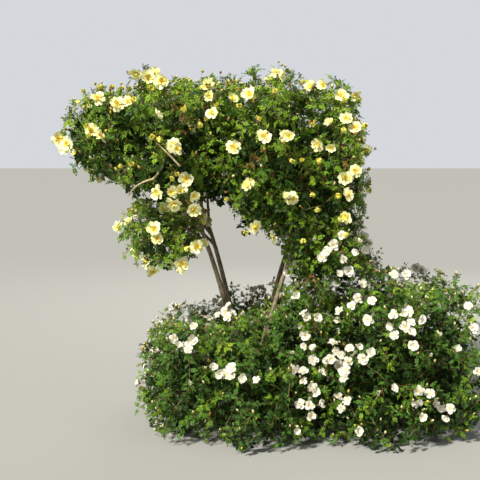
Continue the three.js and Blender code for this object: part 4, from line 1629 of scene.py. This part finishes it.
def hides_nothing(points):
    """True where a leaf neither touches an open flower or bare cane nor stands in front of one."""
    offsets = points[:, None] - shown_places
    ahead = (offsets * shown_ways).sum(-1)
    aside = length_of(offsets - ahead[..., None] * shown_ways)
    touches = length_of(offsets) < CLEAR_TUBE.touch * shown_radii
    within = (ahead > CLEAR_TUBE.start) & (ahead < CLEAR_TUBE.end)
    covers = within & (aside < CLEAR_TUBE.width * shown_radii)
    return ~(touches | covers).any(-1)


print("places to keep in sight:", len(shown_places))

# %% [markdown]
# The tint is chosen once for each shoot, so that whole sprays share it, by how much light the shoot gets,
# and so it paints light and shade into the leaves: the darkest painted shade deep inside, then half shade
# and half sun, and sunlit at the surface and high up, with less painted light in the low mound. The mound
# is mostly dusky, and a few shoots in the light are bronze, as young rose leaves are.

# %% Deal out the tints, which paint light and shade
# How much light a shoot gets, from its depth and its height, and less in the low mound. It is painted into
# the leaf colour as a lighter or darker tint.
LIGHT = SimpleNamespace(surface=0.72, height=0.22, patches=0.06, spread=0.17, lost_low=0.13)
TINT_STEPS = {"deep": 0.42, "summer": 0.62, "spring": 0.84}  # painted light and shade: each tint up to so much light, sunlit beyond
DUSKY = SimpleNamespace(low=0.6, high=0.2, from_light=0.4)
BRONZE = SimpleNamespace(share=0.05, from_light=0.6)


def tints_of(mass, curves, rng):
    tips = curves[:, 2]
    height = (tips[:, 2] - mass.centre[2]) / mass.half[2]
    light = LIGHT.surface * fullness_of_all(tips).min(-1) + LIGHT.height * height
    light = light + rng.normal(0, LIGHT.spread, len(tips)) + LIGHT.patches * patchiness(tips)
    light = light - (LIGHT.lost_low if is_low(mass) else 0)
    number = TINT_NAMES.index
    steps = [light < step for step in TINT_STEPS.values()]
    tints = np.select(steps, [number(name) for name in TINT_STEPS], number("fresh"))
    dusky = rng.random(len(tips)) < (DUSKY.low if is_low(mass) else DUSKY.high)
    bronze = (rng.random(len(tips)) < BRONZE.share) & (light > BRONZE.from_light)
    tints = np.where(dusky & (light > DUSKY.from_light), number("dusky"), tints)
    return np.where(bronze, number("bronze"), tints)


first_tints = np.bincount(tints_of(masses[0], masses[0].shoots, np.random.default_rng(0)))
print("shoots of each tint in the first mass:", dict(zip(TINT_NAMES, first_tints.tolist())))

# %% [markdown]
# Leaves stand round a shoot by the golden angle, turn their faces up and outwards, and end in a tuft at
# the tip. A leaf that would leave the plant, touch a limb or cover a flower is left out. Deep shoots
# carry fewer leaves.

# %% Set out the leaves
LEAF_LENGTH = {"crown": 0.058, "hanging": 0.057, "shoulder": 0.053, "mound": 0.05}
LEAF_SIZES = (0.7, 1.2)
LEAF_STEP, DEEP_STEP = 0.0148, 0.023  # from leaf to leaf, the second one deep inside
LONGEST_LEAFY = 0.24
TUFT = 2  # leaves at the tip
LEAFY_SHARE = 0.92
LEAF_LEAN = SimpleNamespace(tuft=1.4, side=0.4, outward=0.8, up=0.1, stray=0.25)
LEAF_FACE = SimpleNamespace(outward=0.6, up=0.6, stray=0.5)
LEAF_MIDDLE = 0.6
LEAVES_BEYOND = 1.06
OFF_VERTICAL = np.array([0.01, 0.02, 0])  # gives an upright shoot a side too


def on_curves(curves, shares):
    """A point on each curve, each at its own share of the way, and the way that the curve runs there."""
    ends = np.moveaxis(curves, 1, 0)
    return bezier(ends, shares), heading(ends, shares)


def leaves_of(mass, rng):
    """Roots, ways, faces, sizes and tints of the leaves of one mass."""
    curves = np.concatenate([mass.shoots, np.array([curve for curve, _ in mass.twigs])])
    tints = tints_of(mass, curves, rng)
    lengths = length_of(curves[:, 2] - curves[:, 0])
    leafy = np.minimum(lengths, LONGEST_LEAFY)
    steps = np.where(tints == TINT_NAMES.index("deep"), DEEP_STEP, LEAF_STEP)
    counts = (leafy / steps).astype(int) + TUFT
    owner = np.repeat(np.arange(len(curves)), counts)
    place = np.arange(len(owner)) - np.repeat(np.cumsum(counts) - counts, counts)
    left, from_tip = counts[owner] - place, (leafy / lengths)[owner]
    below = from_tip * (left - TUFT) / np.maximum(counts[owner] - TUFT, 1) * LEAFY_SHARE
    roots, ways = on_curves(curves[owner], np.where(left <= TUFT, 1.0, 1 - below))
    turn = place * GOLDEN_ANGLE + rng.uniform(0, 2 * math.pi, len(curves))[owner]
    across = unit(np.cross(ways, UP + OFF_VERTICAL))
    outward = across * np.cos(turn)[:, None] + np.cross(ways, across) * np.sin(turn)[:, None]
    lean = np.where(left <= TUFT, LEAF_LEAN.tuft, LEAF_LEAN.side)[:, None]
    stray = rng.uniform(-LEAF_LEAN.stray, LEAF_LEAN.stray, roots.shape)
    along = unit(ways * lean + outward * LEAF_LEAN.outward + UP * LEAF_LEAN.up + stray)
    face = outlook(mass, roots) * LEAF_FACE.outward + UP * LEAF_FACE.up
    face = face + rng.normal(0, LEAF_FACE.stray, roots.shape)
    sizes = LEAF_LENGTH[mass.bank.name] * rng.uniform(*LEAF_SIZES, len(roots))
    ends = roots + along * sizes[:, None]
    middles = roots + along * sizes[:, None] * LEAF_MIDDLE
    keep = in_plant(ends, LEAVES_BEYOND) & hides_nothing(middles) & hides_nothing(ends)
    keep &= clear_of(ends, mass.near_limbs) & clear_of(middles, mass.near_limbs)
    return [values[keep] for values in (roots, along, square_to(face, along), sizes, tints[owner])]


rng = np.random.default_rng(31)
leaf_groups = [leaves_of(mass, rng) for mass in masses]
roots, along, face, sizes, tints = (np.concatenate(group) for group in zip(*leaf_groups))
drawn_shapes = rng.integers(0, INNER_SHAPE, len(roots))
shape_of = np.where(tints == TINT_NAMES.index("deep"), INNER_SHAPE, drawn_shapes)
print("leaves:", len(roots), "by mass:", [len(group[0]) for group in leaf_groups])

# %% [markdown]
# Each tint is one piece, or two where one would have too many triangles for the file that it is kept in.

# %% Make the leaf pieces
MOST_TRIANGLES = 190000
MOST_PER_LEAF = max(len(triangles) for _, triangles in LEAF_SHAPES)
for number, tint in enumerate(TINT_NAMES):
    chosen = np.nonzero(tints == number)[0]
    parts = math.ceil(len(chosen) * MOST_PER_LEAF / MOST_TRIANGLES)
    for part in range(parts):
        some = chosen[part::parts]
        shapes = []
        for kind, template in enumerate(LEAF_SHAPES):
            own = some[shape_of[some] == kind]
            shapes.append(scatter(template, roots[own], along[own], face[own], sizes[own]))
        name = f"leaves_{tint}" if parts == 1 else f"leaves_{tint}_{part + 1}"
        piece(name, shapes, leaf_materials[tint], cad_masses)

# %% [markdown]
# ## Petals
#
# The yellow flowers are semi-double: five broad notched petals lie nearly flat, and smaller ones stand
# up inside them round a ring of golden anthers. The white ones are the same flower, about a quarter
# smaller. A petal is a small grid, narrow at its foot, bent up as a cup, twisted and waved at its rim.

# %% Draw a petal
PETAL_FOOT = 0.06  # the share of its length at which a petal starts
PETAL_SIDES = SimpleNamespace(start=0.08, run=0.62, power=0.8)  # its width follows a part of a half wave
PETAL_RIM = SimpleNamespace(rounding=0.2, notch_width=0.34)
PETAL_CUP = SimpleNamespace(along=0.5, across=0.35)
PETAL_WAVES = 2.6  # radians of the rim's wave from the middle to either side


def petal(length, width, rise, cup, notch, wave, twist, grid):
    """A petal from the middle of a flower along +X, tilted up by the angle rise."""
    columns, rows = grid
    u = np.linspace(-1, 1, columns + 1)[None]
    v = np.linspace(PETAL_FOOT, 1, rows + 1)[:, None]
    arch = np.sin(math.pi * (PETAL_SIDES.start + PETAL_SIDES.run * v)) ** PETAL_SIDES.power
    notched = notch * v ** 4 * np.exp(-(u / PETAL_RIM.notch_width) ** 2)
    x = length * (v - PETAL_RIM.rounding * v ** 3 * u ** 2 - notched)
    y = width / 2 * arch * u
    cupped = cup * (PETAL_CUP.along * v ** 2 + PETAL_CUP.across * v * u ** 2)
    z = length * (cupped + wave * v ** 2 * np.sin(PETAL_WAVES * u + 1) + twist * v * u)
    corners = np.stack([
        x * math.cos(rise) - z * math.sin(rise),
        np.broadcast_to(y, x.shape),
        x * math.sin(rise) + z * math.cos(rise),
    ], -1).reshape(-1, 3)
    row, column = cells_of(rows, columns)
    a = row * (columns + 1) + column
    b, c, d = a + 1, a + columns + 2, a + columns + 1
    return corners, np.concatenate([np.stack([a, c, b], -1), np.stack([a, d, c], -1)])


def turned(shape, turn, lift=0.0):
    corners, triangles = shape
    flat = np.array([[math.cos(turn), math.sin(turn), 0], [-math.sin(turn), math.cos(turn), 0], [0, 0, 1]])
    return corners @ flat + np.array([0, 0, lift]), triangles


FINE_GRID, COARSE_GRID = (4, 4), (3, 3)
print("triangles in a petal:", len(petal(1, 1, 0, 0, 0, 0, 0, FINE_GRID)[1]))

# %% [markdown]
# No two petals of a flower get the same numbers, because even petals would read as a moulded rosette.
# Four stages are drawn, from flat to half open, and each flower of the plant is one of them.

# %% Draw the stages of a flower
PETAL_SPREADS = SimpleNamespace(
    length=(0.85, 1.06), width=(0.85, 1.08), rise=(-0.24, 0.24), notch=(0.1, 0.24), wave=(-0.16, 0.16),
    twist=(-0.3, 0.3), turn=(-0.14, 0.14),
)
PETAL_OVERLAP = 0.01  # every other petal lies this much higher
# The rise, then the cup, of the outer and of the inner petals: flat, open, cupped and half open.
OPENNESS = [(0.02, 0.1, 0.2, 0.2), (0.2, 0.2, 0.4, 0.3), (0.5, 0.35, 0.7, 0.3), (0.98, 0.5, 1.25, 0.3)]
OUTER_PETALS = SimpleNamespace(count=5, length=1.0, width=0.86, start=0.0, lift=0.0)
INNER_PETALS = SimpleNamespace(count=4, length=0.6, width=0.46, start=0.6, lift=0.03)


def whorl(petals, radius, rise, cup, rng, grid):
    """A ring of petals. Their sizes are shares of the flower's radius."""
    length, width, spreads = petals.length * radius, petals.width * radius, PETAL_SPREADS
    shapes = []
    for n in range(petals.count):
        shape = petal(
            length * rng.uniform(*spreads.length), width * rng.uniform(*spreads.width),
            rise + rng.uniform(*spreads.rise), cup, rng.uniform(*spreads.notch), rng.uniform(*spreads.wave),
            rng.uniform(*spreads.twist), grid,
        )
        turn = petals.start + 2 * math.pi * (n + rng.uniform(*spreads.turn)) / petals.count
        shapes.append(turned(shape, turn, petals.lift * radius + PETAL_OVERLAP * length * (n % 2)))
    return merged(shapes)


def double_flower(openness, radius, rng, grid):
    rise, cup, inner_rise, inner_cup = openness
    outer = whorl(OUTER_PETALS, radius, rise, cup, rng, grid)
    return outer, whorl(INNER_PETALS, radius, inner_rise, inner_cup, rng, grid)


rng = np.random.default_rng(41)
YELLOW_SHAPES = [double_flower(openness, FLOWER_RADIUS["yellow"], rng, FINE_GRID) for openness in OPENNESS]
WHITE_SHAPES = [double_flower(openness, FLOWER_RADIUS["white"], rng, COARSE_GRID) for openness in OPENNESS]
print("triangles in a yellow and in a white flower:",
      [sum(len(triangles) for _, triangles in shapes[0]) for shapes in (YELLOW_SHAPES, WHITE_SHAPES)])

# %% [markdown]
# In the middle stands a spiral of stamens, each an anther on a filament, the outer ones lower. Behind
# the petals sit the green hip and five narrow sepals.

# %% Draw the stamens and the calyx
ANTHER = np.array([[1, 0, -0.3], [-0.5, 1, -0.3], [-0.5, -1, -0.3], [0, 0, 1]]) * (0.06, 0.05, 0.04)
ANTHER_FACES = np.array([[0, 1, 3], [1, 2, 3], [2, 0, 3], [0, 2, 1]])
FILAMENT_FOOT = np.array([[0.02, -0.008, 0.02], [0.02, 0.008, 0.02]])
STAMEN_RING = SimpleNamespace(least=0.03, spread=0.26, height=0.24, fall=0.3, stray=(-0.03, 0.03))
HIP_PROFILE = ((0.03, -0.3), (0.12, -0.15), (0.06, 0.0))
SEPALS = 5
SEPAL_START = 0.3
SEPAL_FACES = np.array([[0, 1, 2], [0, 2, 3], [3, 2, 4]])


def stamens(count, radius, rng):
    """Golden anthers on short filaments, round the middle of the flower."""
    shapes = []
    for n in range(count):
        out = STAMEN_RING.least + STAMEN_RING.spread * math.sqrt((n + 0.5) / count)
        height = STAMEN_RING.height - STAMEN_RING.fall * out + rng.uniform(*STAMEN_RING.stray)
        place = np.array([out, 0, height])
        filament = np.concatenate([FILAMENT_FOOT, place[None]])
        stamen = merged([(ANTHER + place, ANTHER_FACES), (filament, np.array([[0, 1, 2]]))])
        shapes.append(turned(stamen, n * GOLDEN_ANGLE))
    corners, triangles = merged(shapes)
    return corners * radius, triangles


def calyx(radius, sepal_length, rng):
    """The green hip under a flower, and five narrow sepals."""
    turns = np.arange(SEPALS) * 2 * math.pi / SEPALS
    rings = [np.stack([out * np.cos(turns), out * np.sin(turns), np.full(SEPALS, z)], -1)
             for out, z in HIP_PROFILE]
    shapes = [tube(np.array(rings))[:2]]
    for n in range(SEPALS):
        blade = np.array([
            [0.04, -0.06, -0.03], [0.04, 0.06, -0.03], [0.4 * sepal_length, 0.07, -0.06],
            [0.4 * sepal_length, -0.07, -0.06], [sepal_length, 0, -0.02 - 0.06 * rng.random()],
        ])
        shapes.append(turned((blade, SEPAL_FACES), 2 * math.pi * n / SEPALS + SEPAL_START))
    corners, triangles = merged(shapes)
    return corners * radius, triangles


print("triangles in a calyx:", len(calyx(1, 0.5, np.random.default_rng(0))[1]))

# %% [markdown]
# ## Open flowers
#
# Each flower gets its own spin and its own size, and sits on the stalk or twig tip that was grown for
# it. Petals, anthers and calyxes are pieces apart, because each kind has its own material. A half-open
# yellow flower shows the deeper yellow outside too.

# %% Set out the flowers
FLOWER_SIZES = (0.82, 1.1)
HALF_OPEN_SIZE = 0.7
rng = np.random.default_rng(43)
yellow = np.array([flower.tone == "yellow" for flower in flowers])
flower_kind = np.array([flower.kind for flower in flowers])
spins = unit(np.cross(flower_ways, rng.normal(size=flower_ways.shape)))
half_open_sizes = np.where(flower_kind == HALF_OPEN, HALF_OPEN_SIZE, 1)
flower_sizes = rng.uniform(*FLOWER_SIZES, len(flower_places)) * half_open_sizes


def set_out(template, chosen):
    places, ways = flower_places[chosen], flower_ways[chosen]
    return scatter(template, places, spins[chosen], ways, flower_sizes[chosen])


outer, inner, whites = [], [], []
for kind in range(len(OPENNESS)):
    own = flower_kind == kind
    (inner if kind == HALF_OPEN else outer).append(set_out(YELLOW_SHAPES[kind][0], own & yellow))
    inner.append(set_out(YELLOW_SHAPES[kind][1], own & yellow))
    whites.extend(set_out(whorl_shape, own & ~yellow) for whorl_shape in WHITE_SHAPES[kind])
for name, shapes, material in (
    ("petals_cream", outer, petal_cream),
    ("petals_yellow", inner, petal_yellow),
    ("petals_white", whites, petal_white),
):
    piece(name, shapes, material, cad_masses, smooth=True)

# %% [markdown]
# The calyxes wait for the buds' sepals, which share their piece.

# %% Set out the anthers and the calyxes
STAMENS = {"yellow": 28, "white": 16}
SEPAL_LENGTHS = {"yellow": 0.5, "white": 0.6}
gold = set_out(stamens(STAMENS["yellow"], FLOWER_RADIUS["yellow"], rng), yellow)
pale = set_out(stamens(STAMENS["white"], FLOWER_RADIUS["white"], rng), ~yellow)
piece("anthers_gold", [gold], anther_gold, cad_masses)
piece("anthers_pale", [pale], anther_pale, cad_masses)
calyxes = [
    set_out(calyx(FLOWER_RADIUS[tone], SEPAL_LENGTHS[tone], rng), chosen)
    for tone, chosen in (("yellow", yellow), ("white", ~yellow))
]
print("calyxes of open flowers:", len(flowers))

# %% [markdown]
# ## Buds
#
# A rose in full flower still carries many buds: slim green calyxes with a cream or golden point of rolled
# petals. Some are brown: what is left of the first flowers.

# %% Draw a bud
BUD = SimpleNamespace(length=0.022, radius=0.0052, sides=4)
BUD_PROFILE = [(0.1, 0.1), (0.8, 0.25), (1.0, 0.5), (0.5, 0.85)]  # shares of the radius and of the length
BUD_SEPAL = SimpleNamespace(foot=0.5, middle=(1.2, 0.25), tip=(1.15, 0.6), width=0.55)


def bud_template():
    turns = np.arange(BUD.sides) * 2 * math.pi / BUD.sides
    rings = [
        np.stack([
            np.full(BUD.sides, up * BUD.length),
            BUD.radius * out * np.cos(turns + up),
            BUD.radius * out * np.sin(turns + up),
        ], -1)
        for out, up in BUD_PROFILE
    ]
    return tube(np.array(rings))[:2]


def sepal_template():
    """The five sepals that still clasp a bud."""
    shapes = []
    for n in range(SEPALS):
        turn = 2 * math.pi * n / SEPALS
        out = np.array([0, math.cos(turn), math.sin(turn)])
        side = BUD_SEPAL.width * BUD.radius * np.array([0, -math.sin(turn), math.cos(turn)])
        low = out * BUD.radius * BUD_SEPAL.foot
        middle, tip = (
            out * BUD.radius * share + np.array([up * BUD.length, 0, 0])
            for share, up in (BUD_SEPAL.middle, BUD_SEPAL.tip)
        )
        shapes.append((np.array([low - side, low + side, middle + side, middle - side, tip]), SEPAL_FACES))
    return merged(shapes)


print("triangles in a bud:", len(bud_template()[1]) + len(sepal_template()[1]))

# %% [markdown]
# They stand clear of the leaves, on stalks at the tips of the outer shoots, and point up more than the
# flowers do. The mound has mostly cream ones, and the crown more golden and faded ones.

# %% Choose where the buds stand
BUD_SHARE = {"crown": 0.42, "hanging": 0.36, "shoulder": 0.36, "mound": 0.42}
BUD_TONES = {"white": (0.82, 0.1, 0.08), "yellow": (0.25, 0.45, 0.3)}  # shares of cream, gold and faded
BUD_STALK = 0.03
BUD_LEAN = SimpleNamespace(onward=0.5, outward=0.5, up=1.1, stray=0.3)
BUDS_FROM = 0.72  # the least fullness of a shoot tip with a bud
BUDS_BEYOND = 1.15


def buds_of(mass, rng):
    """Feet, ways and tones of the buds of one mass."""
    tips, ways = on_curves(mass.shoots, np.ones(len(mass.shoots)))
    outermost = fullness_of_all(tips).min(-1) > BUDS_FROM
    chosen = outermost & (rng.random(len(tips)) < BUD_SHARE[mass.bank.name]) & hides_nothing(tips)
    tips, ways = tips[chosen], ways[chosen]
    way = BUD_LEAN.onward * ways + BUD_LEAN.outward * outlook(mass, tips) + UP * BUD_LEAN.up
    way = unit(way + rng.normal(0, BUD_LEAN.stray, tips.shape))
    tones = rng.choice(len(bud_materials), len(tips), p=BUD_TONES[bank_colour(mass)])
    return tips, way, tones


bud_groups = [buds_of(mass, rng) for mass in masses]
bud_feet, bud_ways, bud_tones = (np.concatenate(group) for group in zip(*bud_groups))
bud_places = bud_feet + bud_ways * BUD_STALK
kept = in_plant(bud_places, BUDS_BEYOND)
bud_feet, bud_ways, bud_places, bud_tones = (
    values[kept] for values in (bud_feet, bud_ways, bud_places, bud_tones)
)
print("buds:", len(bud_places))

# %% [markdown]
# Stalks, petal points and sepals go to three kinds of piece. Now the calyxes have all their shapes and
# are made as well.

# %% Make the buds and the calyxes
STALK_GIRTH = 0.0009
STALK_INTO_BUD = 0.002
BUD_SIZES = (0.8, 1.35)
SEPAL_SPARE = 1.06  # sepals are this much larger than the bud that they clasp
BUD_FACE = UP + np.array([0.1, 0.05, 0])

stalk_ends = bud_places + bud_ways * STALK_INTO_BUD
stalk_curves = np.stack([bud_feet, (bud_feet + bud_places) / 2, stalk_ends], 1)
stalks = many_tubes(stalk_curves, STALK_GIRTH, STALK_GIRTH, rings=2, sides=3)
piece("bud_stalks", [stalks], shoot_skin, cad_masses, smooth=True)
bud_faces = square_to(np.broadcast_to(BUD_FACE, bud_ways.shape), bud_ways)
bud_sizes = rng.uniform(*BUD_SIZES, len(bud_places))
for number, (name, material) in enumerate(bud_materials.items()):
    own = bud_tones == number
    buds = scatter(bud_template(), bud_places[own], bud_ways[own], bud_faces[own], bud_sizes[own])
    piece(f"buds_{name}", [buds], material, cad_masses)
calyxes.append(scatter(sepal_template(), bud_places, bud_ways, bud_faces, bud_sizes * SEPAL_SPARE))
piece("calyxes", calyxes, sepal_green, cad_masses)

# %% [markdown]
# ## Studio
#
# A plain pale floor and soft light keep the eye on the plant. The main light comes from the upper left in
# front, broad enough for soft shadows, and wide weak ones from the right and from behind keep the shade
# readable.

# %% Light the plant
PLANT_MIDDLE = (0.15, 0.0, 1.0)
MAIN_LIGHT_ANGLE = 6  # degrees of sky that the main light takes up


def turned_to(place, aim):
    return (Vector(aim) - Vector(place)).to_track_quat("-Z", "Y").to_euler()


def add_light(name, kind, place, energy, tone):
    data = bpy.data.lights.new(name, kind)
    data.energy = energy
    data.color = tone
    light = bpy.data.objects.new(name, data)
    light.location = place
    light.rotation_euler = turned_to(place, PLANT_MIDDLE)
    bpy.context.scene.collection.objects.link(light)
    return data


main_light = add_light("main_light", "SUN", (-3.1, -3.9, 5.1), 5.0, (1.0, 0.97, 0.88))
main_light.angle = math.radians(MAIN_LIGHT_ANGLE)
add_light("open_side", "AREA", (5.0, -3.5, 3.2), 45, (0.95, 0.97, 1.0)).size = 4.0
add_light("far_side", "AREA", (1.5, 5.5, 4.5), 90, (1.0, 0.98, 0.95)).size = 3.5

# %% [markdown]
# The camera sees a paler background than the one that lights the shade, because a background as bright
# as it looks would wash the shade out.

# %% Set up the background
SKY_COLOUR = (0.92, 0.95, 1.0, 1)
SKY_STRENGTH = SimpleNamespace(lighting=0.19, seen=0.72)
world = bpy.data.worlds.new("studio")
world.use_nodes = True
world_tree = world.node_tree
background = world_tree.nodes["Background"]
background.inputs["Color"].default_value = SKY_COLOUR
seen_by = world_tree.nodes.new("ShaderNodeLightPath")
camera_ray = seen_by.outputs["Is Camera Ray"]
strength = map_range(world_tree, camera_ray, 0, 1, SKY_STRENGTH.lighting, SKY_STRENGTH.seen)
world_tree.links.new(strength, background.inputs["Strength"])
bpy.context.scene.world = world
bpy.context.scene.view_settings.view_transform = "Standard"
print("background:", world.name)

# %% [markdown]
# The floor reaches so far that its edge meets the background at the horizon. It belongs to the studio
# and not to the plant.

# %% Lay the floor
FLOOR_REACH = 400.0
floor_mesh = bpy.data.meshes.new("floor")
floor_corners = [(x * FLOOR_REACH, y * FLOOR_REACH, 0) for x, y in ((-1, -1), (1, -1), (1, 1), (-1, 1))]
floor_mesh.from_pydata(floor_corners, [], [(0, 1, 2, 3)])
floor_material, _, floor_shader = new_material("pale_floor")
floor_shader.inputs["Base Color"].default_value = colour(182, 182, 178)
floor_shader.inputs["Roughness"].default_value = 0.9
floor_mesh.materials.append(floor_material)
floor = bpy.data.objects.new("floor", floor_mesh)
bpy.context.scene.collection.objects.link(floor)
print("floor:", 2 * FLOOR_REACH, "m wide")
